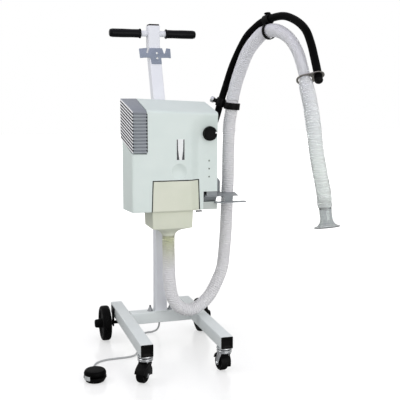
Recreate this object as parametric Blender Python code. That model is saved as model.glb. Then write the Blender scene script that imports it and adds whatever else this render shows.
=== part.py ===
"""Mobile suction unit: a blower housing with a hose on a bent arm, on a wheeled stand.

Metres, +Z up, -Y towards the front. Everything is built in the stand frame, whose origin is on
the floor under the mast; the last step moves the footprint's middle to the world origin.
"""

import math

import bmesh
import bpy
from mathutils import Matrix, Vector

# Clearances
CLEAR = 0.0003          # a seated piece and the piece that carries it
RUN = 0.0004            # a turning or sliding piece in its bearing

# Stand
TUBE = 0.040            # square tube of legs, cross tube and mast
TUBE_WALL = 0.002
LEG_SPACING = 0.255     # between the middles of the legs
LEG_FRONT = 0.344       # leg end in front of the mast
LEG_REAR = 0.147        # leg end behind the mast
LEG_TOP = 0.122         # above the floor
CAP_DEPTH = 0.016       # black plugs in the tube ends
CAP_FLANGE = 0.0015
MAST_BEND = 0.820       # height where the mast starts to lean back
LEAN_RISE = 0.210
LEAN_BACK = 0.079
MAST_HEAD = 0.070       # upright part above the lean
MAST_TOP = MAST_BEND + LEAN_RISE + MAST_HEAD
MAST_CAP = 0.0035       # black cap on the mast
BEND_RADIUS = 0.060
HANDLE_DROP = 0.026     # below the top of the mast
HANDLE_DIAMETER = 0.020
HANDLE_SPAN = 0.302     # over both grips
GRIP_LENGTH = 0.113
GRIP_DIAMETER = 0.029
GRIP_FLANGE = 0.0018
GRIP_FLOOR = 0.006      # closed outer end
HOOK_DROP = 0.030       # middle of the hook plate, below the top of the lean
HOOK_WIDTH = 0.110
HOOK_SHEET = 0.002
HOOK_WING_TURN = 18.0   # degrees that each wing is bent back

# Casters and rear wheels
CASTER_INSET = 0.026    # swivel axis behind the front of the leg
CASTER_TRAIL = 0.018
CASTER_TURN = {"left": 140.0, "right": 8.0}  # degrees from trailing straight back
CASTER_DIAMETER = 0.052
CASTER_WIDTH = 0.024
CASTER_RACE = 0.044     # diameter of the swivel race
FORK_SHEET = 0.0025
REAR_DIAMETER = 0.123
REAR_WIDTH = 0.030
REAR_BACK = 0.097       # axle behind the mast
REAR_GAP = 0.0155       # from leg to wheel
AXLE_DIAMETER = 0.012

# Housing
HOUSING_LEFT = 0.131    # left of the mast
HOUSING_RIGHT = 0.154
HOUSING_FRONT = 0.178   # in front of the mast, at the crown
HOUSING_BACK = -TUBE / 2 - CLEAR  # the back plate lies against the mast
HOUSING_CROWN = 0.006
HOUSING_BOTTOM = 0.4965
HOUSING_DROP = 0.009    # how much lower the back edge of the underside is
HOUSING_TOP = 0.8150    # at the front, over the mast
HOUSING_RISE = 0.0370   # how much higher the top is at the back
HOUSING_FALL = 0.046    # slope of the top down to the right
SHELL = 0.003
PANEL_DEPTH = 0.016     # control strip behind the crowned front
STRIP_LEFT = 0.0925
STRIP_TOP = 0.772
GRILLE_TOP = 0.8160     # at the front
GRILLE_RISE = 0.0400
GRILLE_RIGHT = 0.083    # left of the mast, where the louvres end on the front
GRILLE_PROUD = 0.0055   # beyond the left wall, at the back
GRILLE_TUCK = 0.0025    # inside the left wall, at the front
GRILLE_GAP = 0.0010
FIN_COUNT = 13
FIN_PITCH = 0.0104
FIN_THICKNESS = 0.0056
FIN_DEPTH = 0.014
KNOB_X, KNOB_Z = 0.127, 0.744
KNOB_DIAMETER = 0.047
KNOB_HEIGHT = 0.017
LIGHT_X = 0.126
LIGHT_Z = (0.656, 0.630, 0.604)
LIGHT_DIAMETER = 0.005
DRAWER_MIDDLE = 0.0128
DRAWER_WIDTH = 0.157    # of its opening, at the top
DRAWER_FLARE = 0.0036   # wider at each side at the bottom
DRAWER_TOP = 0.5970
DRAWER_DEPTH = 0.105
DRAWER_WALL = 0.0025
DRAWER_GAP = 0.0020     # round the drawer's front
PLEATS = 14             # of the filter pack
PLEAT_HEIGHT = 0.052
SCOOP_X, SCOOP_Z = 0.0213, 0.6245
SCOOP_WIDTH = 0.050
SCOOP_DEPTH = 0.0055
INLET_X, INLET_Y = 0.0048, -0.100
INLET_WIDTH = 0.1375
INLET_LENGTH = 0.116
INLET_CORNER = 0.0035
INLET_WALL = 0.0025
INLET_BOTTOM = 0.4375
SPIGOT_TOP = 0.4065
SPIGOT_DIAMETER = 0.029
SPIGOT_LENGTH = 0.035
MAINS_AT = (0.095, 0.535)
MAINS_WIDTH, MAINS_HEIGHT = 0.0274, 0.0194
BLOWER_X, BLOWER_Y = 0.012, -0.090
BLOWER_BASE = 0.608
BLOWER_RADIUS = 0.056
BLOWER_HEIGHT = 0.058
BLOWER_WALL = 0.0025
BLADES = 10
SHAFT_DIAMETER = 0.008
MOTOR_DIAMETER = 0.068
MOTOR_HEIGHT = 0.062

# Arm, clamps and hose
ARM_DIAMETER = 0.024
ARM_X, ARM_Y = 0.186, -0.004
SOCKET_BOTTOM = 0.640
SOCKET_TOP = 0.715
HOSE_CREST = 0.043      # over the ribs
HOSE_ROOT = 0.0396      # between the ribs
HOSE_BORE = 0.033
RIB_PITCH = 0.0232
HOSE_NECK = 0.80        # hose diameter at the ring plate, as a share of the rest
CLAMP_LOWER_REACH = 0.0430  # from arm to hose, middle to middle
CLAMP_UPPER_REACH = 0.0370
CLAMP_HEIGHT = 0.028
CLAMP_EASE = 0.0012     # round the arm, which curves inside the sleeve
HOSE_EASE = 0.0015      # round the hose
CLAMP_BAND = 0.0028
RING_REACH = 0.0385
RING_BACK = 0.016       # from the end of the arm
RING_SHEET = 0.0025
SHELF_HEIGHT = 0.538    # sheet bracket beside the housing
SLOT_LEFT = 0.107       # slot in the housing's front that the bracket goes into
SLOT_BELOW, SLOT_ABOVE = 0.0165, 0.0175
SHELF_FRONT, SHELF_BACK = 0.166, 0.1015
BLADE_DROP = 0.0185     # blade under the shelf, middle to shelf
GUSSET_RISE = 0.100
GUSSET_Y = -0.060
SHEET = 0.002

# Foot switch
SWITCH_X, SWITCH_Y = -0.275, -0.274
SWITCH_DIAMETER = 0.070
SWITCH_FOOT = 0.057     # diameter on the floor
SWITCH_HEIGHT = 0.036
PEDAL_TRAVEL = 0.004
CABLE_DIAMETER = 0.0065
CABLE_LIES = 0.0036     # middle of the cable on the floor

# Routes, chosen by hand in the stand frame
ARM_ROUTE = [
    (ARM_X, ARM_Y, SOCKET_BOTTOM + 0.006), (ARM_X, ARM_Y, SOCKET_TOP),
    (ARM_X, ARM_Y, SOCKET_TOP + 0.018), (0.1925, -0.0045, 0.764), (0.2039, -0.0070, 0.7988),
    (0.2135, -0.0128, 0.838), (0.2259, -0.0240, 0.8874), (0.2403, -0.0656, 0.970),
    (0.2577, -0.1300, 1.047), (0.2737, -0.1766, 1.0800), (0.2897, -0.2210, 1.0990),
    (0.3127, -0.3012, 1.1063), (0.3288, -0.3616, 1.0892), (0.3390, -0.4115, 1.0590),
    (0.3450, -0.4385, 1.0190), (0.3446, -0.4690, 0.9693), (0.3421, -0.4920, 0.9354),
    (0.3390, -0.5085, 0.9110),
]
HOSE_LOWER_ROUTE = [
    (0.0048, -0.100, 0.4060), (0.0048, -0.100, 0.362), (0.0060, -0.100, 0.300),
    (0.0085, -0.100, 0.245), (0.0170, -0.100, 0.195), (0.0400, -0.100, 0.158),
    (0.0790, -0.099, 0.1437), (0.1150, -0.098, 0.1570), (0.1500, -0.096, 0.1890),
    (0.1760, -0.092, 0.231), (0.1960, -0.088, 0.275), (0.2050, -0.083, 0.318),
    (0.2135, -0.078, 0.402), (0.2190, -0.072, 0.490), (0.2215, -0.069, 0.540),
    (0.2245, -0.066, 0.587), (0.2275, -0.059, 0.650), (0.2326, -0.048, 0.714),
    (0.2385, -0.037, 0.770),
]
HOSE_UPPER_ROUTE = [
    (0.2510, -0.0620, 0.8980), (0.2550, -0.0865, 0.938), (0.2640, -0.1430, 1.0085),
    (0.2825, -0.2020, 1.0550),
]
HOSE_CREST_ROUTE = [
    (0.3060, -0.3000, 1.0600), (0.3166, -0.355, 1.0340), (0.3200, -0.4052, 0.9930),
    (0.3155, -0.450, 0.9470),
]
HOSE_END_ROUTE = [
    (0.3070, -0.5240, 0.843), (0.3052, -0.5560, 0.7700), (0.3080, -0.5710, 0.7050),
    (0.3190, -0.5780, 0.6400), (0.3290, -0.5765, 0.600), (0.3375, -0.5710, 0.5574),
]
CABLE_ROUTE = [
    (0.000, 0.0230, 0.160), (0.000, 0.0400, 0.160), (0.003, 0.0560, 0.153),
    (0.010, 0.0740, 0.128), (0.018, 0.0860, 0.090), (0.0215, 0.0970, 0.050),
    (0.018, 0.1110, 0.018), (0.002, 0.1210, 0.0045), (-0.021, 0.1200, CABLE_LIES),
    (-0.046, 0.1020, CABLE_LIES), (-0.064, 0.0600, CABLE_LIES), (-0.080, 0.0000, CABLE_LIES),
    (-0.094, -0.0600, CABLE_LIES), (-0.112, -0.1000, CABLE_LIES), (-0.140, -0.1130, CABLE_LIES),
    (-0.180, -0.1150, CABLE_LIES), (-0.216, -0.1190, CABLE_LIES), (-0.245, -0.1350, CABLE_LIES),
    (-0.260, -0.1620, CABLE_LIES), (-0.266, -0.1950, 0.0050), (-0.2690, -0.2180, 0.0085),
    (-0.2698, -0.2285, 0.0090),
]

HOSE_RISE = (0.090, -0.080, 0.990)  # direction of the hose at the lower clamp
CLAMP_LOWER_AT, CLAMP_LOWER_SIDE = (0.2150, -0.0138, 0.8425), (0.0305, -0.0250, 0.0)
CLAMP_UPPER_AT, CLAMP_UPPER_SIDE = (0.2937, -0.2350, 1.101), (0.0, 0.0, -1.0)
RING_SIDE = (-0.0286, 0.0218, -0.0111)

ALONG_X, ALONG_Y, ALONG_Z = Vector((1, 0, 0)), Vector((0, 1, 0)), Vector((0, 0, 1))


def look(name, colour, roughness, metallic=0.0, alpha=1.0):
    """A Principled material."""
    made = bpy.data.materials.new(name)
    made.use_nodes = True
    shader = made.node_tree.nodes["Principled BSDF"]
    shader.inputs["Base Color"].default_value = (*colour, 1.0)
    shader.inputs["Roughness"].default_value = roughness
    shader.inputs["Metallic"].default_value = metallic
    shader.inputs["Alpha"].default_value = alpha
    return made


def skin(loops, closed=False):
    """A mesh over equal closed loops of points, capped at both ends or joined into a ring."""
    count = len(loops[0])
    faces = []
    pairs = [(k, k + 1) for k in range(len(loops) - 1)] + ([(len(loops) - 1, 0)] if closed else [])
    for low, high in pairs:
        for k in range(count):
            after = (k + 1) % count
            faces.append((low * count + k, low * count + after, high * count + after, high * count + k))
    if not closed:
        last = (len(loops) - 1) * count
        faces += [tuple(range(count)), tuple(range(last, last + count))]
    return faced([point for loop in loops for point in loop], faces)


def faced(points, faces):
    mesh = bpy.data.meshes.new("shape")
    bm = bmesh.new()
    spots = [bm.verts.new(point) for point in points]
    for face in faces:
        bm.faces.new([spots[k] for k in face])
    bmesh.ops.recalc_face_normals(bm, faces=bm.faces)
    bm.to_mesh(mesh)
    bm.free()
    return mesh


def level(outline, height, axis):
    """A flat outline set at a height along an axis: (y, z) for X, (x, z) for Y, (x, y) for Z."""
    at = "XYZ".index(axis)
    return [(*point[:at], height, *point[at:]) for point in outline]


def prism(outline, low, high, axis):
    return skin([level(outline, low, axis), level(outline, high, axis)])


def pipe(outer, inner, low, high, axis):
    """A prism with a hole right through."""
    walls = (outer, low), (outer, high), (inner, high), (inner, low)
    return skin([level(outline, at, axis) for outline, at in walls], closed=True)


def block(low, high):
    (x0, y0, z0), (x1, y1, z1) = low, high
    return prism([(x0, y0), (x1, y0), (x1, y1), (x0, y1)], z0, z1, "Z")


def joined(meshes):
    """Separate closed shapes as one mesh."""
    bm = bmesh.new()
    for mesh in meshes:
        bm.from_mesh(mesh)
        bpy.data.meshes.remove(mesh)
    whole = bpy.data.meshes.new("shape")
    bm.to_mesh(whole)
    bm.free()
    return whole


def lathe(profile, place, steps=24, closed=False):
    """(radius, height) points turned round the Z axis of a place."""
    bm = bmesh.new()
    turns = [2 * math.pi * k / steps for k in range(steps)]
    rings = []
    for radius, height in profile:
        circle = [(radius * math.cos(t), radius * math.sin(t), height) for t in turns]
        rings.append([bm.verts.new(point) for point in (circle if radius > 1e-6 else circle[:1])])
    for low, high in zip(rings, rings[1:] + rings[:1] if closed else rings[1:]):
        for k in range(steps):
            spots = (low, k), (low, k + 1), (high, k + 1), (high, k)
            face = list(dict.fromkeys(ring[at % len(ring)] for ring, at in spots))
            if len(face) > 2:
                bm.faces.new(face)
    bmesh.ops.recalc_face_normals(bm, faces=bm.faces)
    mesh = bpy.data.meshes.new("shape")
    bm.to_mesh(mesh)
    bm.free()
    mesh.transform(place)
    return mesh


def frame(origin, up, side=None):
    """A place with its Z axis along up and its X axis as near to side as can be."""
    up = Vector(up).normalized()
    side = Vector(side) if side else (ALONG_X if abs(up.x) < 0.9 else ALONG_Y)
    across = (side - up * side.dot(up)).normalized()
    place = Matrix((across, up.cross(across), up)).transposed().to_4x4()
    place.translation = Vector(origin)
    return place


def rod(start, end, radius, steps=16):
    start, end = Vector(start), Vector(end)
    length = (end - start).length
    return lathe([(0, 0), (radius, 0), (radius, length), (0, length)], frame(start, end - start), steps)


def rounded(points, radius, steps=3, closed=True):
    """A flat outline or route with an arc at each corner; radius is one number or one per point."""
    points = [Vector(point) for point in points]
    radii = radius if isinstance(radius, (list, tuple)) else [radius] * len(points)
    result = []
    for k, corner in enumerate(points):
        end = not closed and k in (0, len(points) - 1)
        if end or not radii[k]:
            result.append(tuple(corner))
            continue
        before = (points[k - 1] - corner).normalized()
        after = (points[(k + 1) % len(points)] - corner).normalized()
        half = before.angle(after) / 2
        middle = corner + (before + after).normalized() * radii[k] / math.sin(half)
        first = corner + before * radii[k] / math.tan(half) - middle
        last = corner + after * radii[k] / math.tan(half) - middle
        for step in range(steps + 1):
            result.append(tuple(middle + first.slerp(last, step / steps) * radii[k]))
    return result


def corners(a, b, half_a, half_b):
    signs = (-1, -1), (1, -1), (1, 1), (-1, 1)
    return [(a + s * half_a, b + t * half_b) for s, t in signs]


def square(half, a=0.0, b=0.0, radius=0.002):
    return rounded(corners(a, b, half, half), radius, 1)


def arc(a, b, radius, start, end, steps):
    """Points on an arc, angles in degrees."""
    turns = [math.radians(start + (end - start) * k / steps) for k in range(steps + 1)]
    return [(a + radius * math.cos(t), b + radius * math.sin(t)) for t in turns]


def spaced(points, spacing):
    """Evenly spaced points on a smooth curve through the given points."""
    given = [Vector(point) for point in points]
    padded = [2 * given[0] - given[1]] + given + [2 * given[-1] - given[-2]]
    dense = []
    for a, b, c, d in zip(padded, padded[1:], padded[2:], padded[3:]):
        for step in range(24):
            t = step / 24
            dense.append(0.5 * (2 * b + (c - a) * t + (2 * a - 5 * b + 4 * c - d) * t * t
                                + (3 * b - a - 3 * c + d) * t ** 3))
    dense.append(given[-1])
    lengths = [0.0]
    for a, b in zip(dense, dense[1:]):
        lengths.append(lengths[-1] + (b - a).length)
    count = max(2, round(lengths[-1] / spacing))
    result, at = [], 0
    for step in range(count + 1):
        wanted = lengths[-1] * step / count
        while at < len(dense) - 2 and lengths[at + 1] < wanted:
            at += 1
        part = (wanted - lengths[at]) / max(lengths[at + 1] - lengths[at], 1e-9)
        result.append(dense[at].lerp(dense[at + 1], part))
    return result


def tube(points, radii, resolution):
    """A closed mesh of a round tube with a radius at each point."""
    curve = bpy.data.curves.new("route", "CURVE")
    curve.dimensions = "3D"
    curve.bevel_depth = 1.0
    curve.bevel_resolution = resolution
    curve.use_fill_caps = True
    spline = curve.splines.new("POLY")
    spline.points.add(len(points) - 1)
    for point, place, radius in zip(spline.points, points, radii):
        point.co = (*place, 1.0)
        point.radius = radius
    carrier = bpy.data.objects.new("route", curve)
    bpy.context.scene.collection.objects.link(carrier)
    graph = bpy.context.evaluated_depsgraph_get()
    mesh = bpy.data.meshes.new_from_object(carrier.evaluated_get(graph))
    bpy.data.objects.remove(carrier)
    bm = bmesh.new()
    bm.from_mesh(mesh)
    bmesh.ops.remove_doubles(bm, verts=bm.verts, dist=1e-6)
    bmesh.ops.recalc_face_normals(bm, faces=bm.faces)
    bm.to_mesh(mesh)
    bm.free()
    return mesh


def add(name, mesh, surface, pivot=None):
    """A piece whose origin is at the pivot, or at the middle of its box."""
    if pivot is None:
        values = list(zip(*(vertex.co for vertex in mesh.vertices)))
        pivot = [(min(along) + max(along)) / 2 for along in values]
    mesh.transform(Matrix.Translation(-Vector(pivot)))
    mesh.name = name
    mesh.materials.clear()
    mesh.materials.append(surface)
    piece = bpy.data.objects.new(name, mesh)
    bpy.context.scene.collection.objects.link(piece)
    piece.parent = STAND
    piece.location = pivot
    return piece


def shape(piece, operation, mesh):
    """Joins a hidden helper to a piece, or cuts it out."""
    helper = bpy.data.objects.new(piece.name + "_" + operation.lower(), mesh)
    bpy.context.scene.collection.objects.link(helper)
    helper.parent = STAND
    helper.hide_render = True
    helper.display_type = "WIRE"
    change = piece.modifiers.new(operation, "BOOLEAN")
    change.operation = operation
    change.object = helper
    change.solver = "EXACT"
    return piece


def cut(piece, *meshes):
    for mesh in meshes:
        shape(piece, "DIFFERENCE", mesh)
    return piece


def join(piece, *meshes):
    for mesh in meshes:
        shape(piece, "UNION", mesh)
    return piece


for leftover in list(bpy.data.objects):
    bpy.data.objects.remove(leftover, do_unlink=True)

ARM_POINTS = spaced(ARM_ROUTE, 0.032)
STAND = bpy.data.objects.new("stand_frame", None)
bpy.context.scene.collection.objects.link(STAND)

WHITE = look("white_powder_coat", (0.71, 0.75, 0.79), 0.42)
SHELL_WHITE = look("housing_plastic", (0.66, 0.72, 0.69), 0.48)
GREY = look("grille_plastic", (0.27, 0.28, 0.30), 0.5)
CREAM = look("cream_plastic", (0.66, 0.67, 0.54), 0.45)
BLACK = look("black_plastic", (0.012, 0.012, 0.013), 0.45)
RUBBER = look("black_rubber", (0.015, 0.015, 0.016), 0.7)
ZINC = look("zinc_plate", (0.66, 0.66, 0.62), 0.32, 1.0)
STEEL = look("sheet_steel", (0.30, 0.31, 0.33), 0.38, 1.0)
HOSE = look("hose_plastic", (0.62, 0.63, 0.64), 0.35, 0.0, 0.9)
CLEAR_PLASTIC = look("clear_plastic", (0.68, 0.70, 0.71), 0.12, 0.0, 0.5)
GREEN_BOARD = look("circuit_board", (0.03, 0.16, 0.07), 0.5)
FILTER_PAPER = look("filter_paper", (0.75, 0.74, 0.70), 0.9)
MOTOR_CASE = look("motor_case", (0.40, 0.40, 0.42), 0.4, 1.0)
LENS = look("indicator_lens", (0.16, 0.30, 0.14), 0.2)
CABLE = look("cable_sheath", (0.30, 0.31, 0.32), 0.5)


def build_stand():
    leg_x, low = LEG_SPACING / 2, LEG_TOP - TUBE
    middle, bore = low + TUBE / 2, TUBE / 2 - TUBE_WALL
    for side, x in (("left", -leg_x), ("right", leg_x)):
        leg = add("leg_" + side, pipe(square(TUBE / 2, x, middle), square(bore, x, middle, 0.001),
                                      -LEG_FRONT, LEG_REAR, "Y"), WHITE)
        stem = (x, CASTER_INSET - LEG_FRONT)
        cut(leg, rod((*stem, low - 0.01), (*stem, low + 0.01), 0.005 + CLEAR))
        for end, y, inwards in (("front", -LEG_FRONT, 1), ("rear", LEG_REAR, -1)):
            near, far = y - inwards * CLEAR, y - inwards * (CLEAR + CAP_FLANGE)
            plug = sorted(((near + far) / 2, y + inwards * CAP_DEPTH))
            cap = add(f"cap_{end}_{side}", prism(square(bore - CLEAR, x, middle, 0.001), *plug, "Y"), BLACK)
            join(cap, prism(square(TUBE / 2 - CAP_FLANGE / 2, x, middle), *sorted((near, far)), "Y"))
    reach = leg_x - TUBE / 2 - CLEAR
    outer, inner = square(TUBE / 2, 0, middle), square(bore, 0, middle, 0.001)
    add("cross_tube", pipe(outer, inner, -reach, reach, "X"), WHITE)

    route = rounded([(0, LEG_TOP + CLEAR), (0, MAST_BEND), (LEAN_BACK, MAST_BEND + LEAN_RISE),
                     (LEAN_BACK, MAST_TOP)], BEND_RADIUS, 3, closed=False)
    stations = []
    for k, (y, z) in enumerate(route):
        before, after = route[max(k - 1, 0)], route[min(k + 1, len(route) - 1)]
        along = Vector((after[0] - before[0], after[1] - before[1])).normalized()
        stations.append((y, z, along.y, -along.x))

    def section(half, radius, station):
        y, z, out_y, out_z = station
        return [(a, y + b * out_y, z + b * out_z) for a, b in square(half, 0, 0, radius)]

    loops = [section(TUBE / 2, 0.002, s) for s in stations]
    loops += [section(bore, 0.001, s) for s in reversed(stations)]
    mast = add("mast", skin(loops, closed=True), WHITE)
    grip_at = (0, LEAN_BACK, MAST_TOP - HANDLE_DROP)
    hole = HANDLE_DIAMETER / 2 + CLEAR
    cut(mast, rod((-TUBE, *grip_at[1:]), (TUBE, *grip_at[1:]), hole),
        rod((0, TUBE / 4, CABLE_ROUTE[0][2]), (0, TUBE, CABLE_ROUTE[0][2]), 0.0055))
    plug = square(bore - CLEAR, 0, LEAN_BACK, 0.001)
    add("mast_cap", prism(plug, MAST_TOP - 0.012, MAST_TOP + MAST_CAP, "Z"), BLACK)

    end = HANDLE_SPAN / 2
    stop = end - GRIP_FLOOR - CLEAR
    add("handle_bar", rod((-stop, *grip_at[1:]), (stop, *grip_at[1:]), HANDLE_DIAMETER / 2), WHITE)
    outer = GRIP_DIAMETER / 2
    for side, sign in (("left", -1), ("right", 1)):
        profile = [(hole, 0), (outer + GRIP_FLANGE, 0), (outer + GRIP_FLANGE, 0.004), (outer, 0.006),
                   (outer, GRIP_LENGTH - 0.008), (outer - 0.003, GRIP_LENGTH - 0.002),
                   (outer - 0.007, GRIP_LENGTH), (0, GRIP_LENGTH), (0, GRIP_LENGTH - GRIP_FLOOR),
                   (hole, GRIP_LENGTH - GRIP_FLOOR)]
        place = frame((sign * (end - GRIP_LENGTH), *grip_at[1:]), (sign, 0, 0))
        add("grip_" + side, lathe(profile, place, 20, closed=True), RUBBER)
    build_hook_plate()


def build_hook_plate():
    lean = math.atan2(LEAN_BACK, LEAN_RISE)
    out = Vector((0, -math.cos(lean), math.sin(lean)))
    height = LEAN_RISE - HOOK_DROP
    middle = Vector((0, height * math.tan(lean), MAST_BEND + height))
    outline = [(-0.0545, 0.018), (-0.0262, 0.018), (-0.0310, 0.0005), (-0.0255, -0.001),
               (-0.0190, 0.018), (0.0255, 0.018), (0.0300, -0.001), (0.0335, -0.001),
               (0.0400, 0.018), (0.0555, 0.018), (0.0545, -0.016), (0.0195, -0.0175),
               (0.0195, -0.0395), (-0.0155, -0.0395), (-0.0175, -0.0175), (-0.0535, -0.016)]
    share = HOOK_WIDTH / (outline[9][0] - outline[0][0])
    bm = bmesh.new()
    bm.from_mesh(prism([(a * share, b * share) for a, b in outline], 0, HOOK_SHEET, "Z"))
    for bend, sign in ((-0.0325 * share, -1), (0.0420 * share, 1)):
        everything = bm.verts[:] + bm.edges[:] + bm.faces[:]
        bmesh.ops.bisect_plane(bm, geom=everything, plane_co=(bend, 0, 0), plane_no=(1, 0, 0))
        turn = Matrix.Rotation(math.radians(sign * HOOK_WING_TURN), 3, "Y")
        for vertex in bm.verts:
            if sign * (vertex.co.x - bend) > 1e-5:
                vertex.co = turn @ (vertex.co - Vector((bend, 0, 0))) + Vector((bend, 0, 0))
    mesh = bpy.data.meshes.new("shape")
    bm.to_mesh(mesh)
    bm.free()
    mesh.transform(frame(middle + out * (TUBE / 2 + CLEAR), out, ALONG_X))
    add("hook_plate", mesh, STEEL)


def build_casters():
    """Each fork, wheel and hood is drawn trailing straight back, then turned about its stem."""
    low = LEG_TOP - TUBE - CLEAR
    race, wheel = CASTER_RACE / 2, CASTER_DIAMETER / 2
    crown_top = low - 0.0075
    crown_low = crown_top - 0.011
    gap = CASTER_WIDTH / 2 + 0.002
    for side, sign in (("left", -1), ("right", 1)):
        stem = Vector((sign * LEG_SPACING / 2, CASTER_INSET - LEG_FRONT, 0))
        turned = Matrix.Translation(stem) @ Matrix.Rotation(math.radians(CASTER_TURN[side]), 4, "Z")
        head = [(0, low + 0.018), (0.005, low + 0.018), (0.005, low), (race, low), (race, low - 0.004),
                (race - 0.002, low - 0.007), (0.006, low - 0.007), (0.006, crown_low - RUN),
                (0.010, crown_low - RUN), (0.010, crown_low - 0.0025), (0, crown_low - 0.0025)]
        add("caster_head_" + side, lathe(head, frame(stem, ALONG_Z), 18), ZINC)

        ring = [(0.006 + RUN, crown_low), (race - 0.003, crown_low), (race - 0.001, crown_top - 0.004),
                (race - 0.001, crown_top), (0.006 + RUN, crown_top)]
        fork = add("caster_fork_" + side, lathe(ring, turned, 18, closed=True), ZINC, stem)
        leg = [(-0.012, crown_top - 0.005), (0.014, crown_top - 0.005)]
        leg += arc(CASTER_TRAIL, wheel, 0.008, 10, -190, 6)
        legs = joined([prism(leg, *sorted((s * gap, s * (gap + FORK_SHEET))), "X") for s in (-1, 1)])
        legs.transform(turned)
        pin = [(0, -gap - 0.006), (0.0055, -gap - 0.006), (0.0055, -gap - 0.001), (0.003, -gap - 0.001),
               (0.003, gap + 0.001), (0.0055, gap + 0.001), (0.0055, gap + 0.006), (0, gap + 0.006)]
        axle = turned @ frame((0, CASTER_TRAIL, wheel), ALONG_X)
        join(fork, legs, lathe(pin, axle, 8))

        half, bore = CASTER_WIDTH / 2, 0.003 + RUN
        tread = [(bore, -half - 0.001), (0.010, -half - 0.001), (wheel - 0.008, 0.002 - half),
                 (wheel - 0.003, -half), (wheel, 0.004 - half), (wheel, half - 0.004), (wheel - 0.003, half),
                 (wheel - 0.008, half - 0.002), (0.010, half + 0.001), (bore, half + 0.001)]
        add("caster_wheel_" + side, lathe(tread, axle, 20, closed=True), RUBBER, axle.translation)

        hood = arc(CASTER_TRAIL, wheel, wheel + 0.0045, 165, 30, 8)
        hood += arc(CASTER_TRAIL, wheel, wheel + 0.002, 30, 165, 8)
        cover = prism(hood, CLEAR - gap, gap - CLEAR, "X")
        cover.transform(turned)
        add("caster_hood_" + side, cover, BLACK)


def build_rear_wheels():
    radius, axle = REAR_DIAMETER / 2, AXLE_DIAMETER / 2
    for side, sign in (("left", -1), ("right", 1)):
        face = sign * (LEG_SPACING / 2 + TUBE / 2 + CLEAR)
        inner = face + sign * (REAR_GAP - CLEAR)
        middle = (REAR_BACK, radius)
        drop = arc(*middle, 0.015, 0, -180, 10)
        plate = [(REAR_BACK - 0.026, LEG_TOP - 0.005), (REAR_BACK + 0.026, LEG_TOP - 0.005)] + drop
        bracket = add("rear_bracket_" + side, prism(plate, *sorted((face, face + sign * 0.003)), "X"), BLACK)
        tip = inner + sign * (REAR_WIDTH + 0.014)
        join(bracket, rod((face - sign * 0.036, *middle), (tip, *middle), axle, 14),
             rod((face + sign * 0.002, *middle), (inner - sign * (0.002 + RUN), *middle), axle + 0.004, 14))
        bore, width = axle + RUN, REAR_WIDTH
        tread = [(bore, -0.002), (0.016, -0.002), (radius - 0.019, 0.005), (radius - 0.012, 0),
                 (radius - 0.004, 0), (radius, 0.005), (radius, width - 0.005), (radius - 0.004, width),
                 (radius - 0.012, width), (radius - 0.019, width - 0.005), (0.0165, width - 0.004),
                 (0.0140, width + 0.019), (0.011, width + 0.0215), (0, width + 0.0215),
                 (0, width + 0.016), (bore, width + 0.016)]
        place = frame((inner, *middle), (sign, 0, 0))
        add("rear_wheel_" + side, lathe(tread, place, 24, closed=True), RUBBER, place.translation)


def housing_depth(y):
    """How far back a place on the housing is, from 0 at the front to 1 at the back."""
    return (y + HOUSING_FRONT) / (HOUSING_FRONT + HOUSING_BACK)


def housing_top(x, y):
    return HOUSING_TOP + HOUSING_RISE * housing_depth(y) - HOUSING_FALL * x


def housing_bottom(y):
    return HOUSING_BOTTOM - HOUSING_DROP * housing_depth(y)


def grille_top(y):
    return GRILLE_TOP + GRILLE_RISE * housing_depth(y)


def strip_cutter():
    """The control strip on the right is set back from the crowned front, with a sloping edge."""
    def outline(x, z, radius):
        return rounded([(x, 0.40), (0.25, 0.40), (0.25, z + 0.010), (x, z)], [0, 0, 0, radius], 8)
    deep, shallow = -HOUSING_FRONT + PANEL_DEPTH, -HOUSING_FRONT - PANEL_DEPTH
    return skin([level(outline(STRIP_LEFT, STRIP_TOP, 0.042), deep, "Y"),
                 level(outline(STRIP_LEFT - 0.030, STRIP_TOP + 0.014, 0.048), shallow, "Y")])


def crowned_plan(left, right, back):
    """Outline seen from above, with a bowed front."""
    corner = -HOUSING_FRONT + HOUSING_CROWN
    middle, half = (HOUSING_RIGHT - HOUSING_LEFT) / 2, (HOUSING_RIGHT + HOUSING_LEFT) / 2
    xs = [left + (right - left) * k / 12 for k in range(13)]
    front = [(x, corner - HOUSING_CROWN * (1 - ((x - middle) / half) ** 2)) for x in xs]
    return [(left, back)] + front + [(right, back)]


def drawer_outline(less):
    """The drawer's opening seen from the front, or its front when that is less by the gap."""
    half, low = DRAWER_WIDTH / 2 - less, HOUSING_BOTTOM - 0.05
    wide = half + DRAWER_FLARE * (DRAWER_TOP - low) / (DRAWER_TOP - HOUSING_BOTTOM)
    return [(DRAWER_MIDDLE - wide, low), (DRAWER_MIDDLE + wide, low),
            (DRAWER_MIDDLE + half, DRAWER_TOP - less), (DRAWER_MIDDLE - half, DRAWER_TOP - less)]


def scoop_ball():
    """A ball that sinks into the front by the scoop's depth and is as wide as the scoop there."""
    radius = (SCOOP_WIDTH ** 2 / 4 + SCOOP_DEPTH ** 2) / (2 * SCOOP_DEPTH)
    middle = (SCOOP_X, SCOOP_DEPTH - HOUSING_FRONT - radius, SCOOP_Z)
    turns = [math.radians(turn) for turn in (0, 6, 12, 18, 24, 32)]
    cap = [(radius * math.sin(turn), radius * math.cos(turn)) for turn in turns]
    return lathe(cap + [(0, radius * 0.8)], frame(middle, ALONG_Y), 24)


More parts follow.
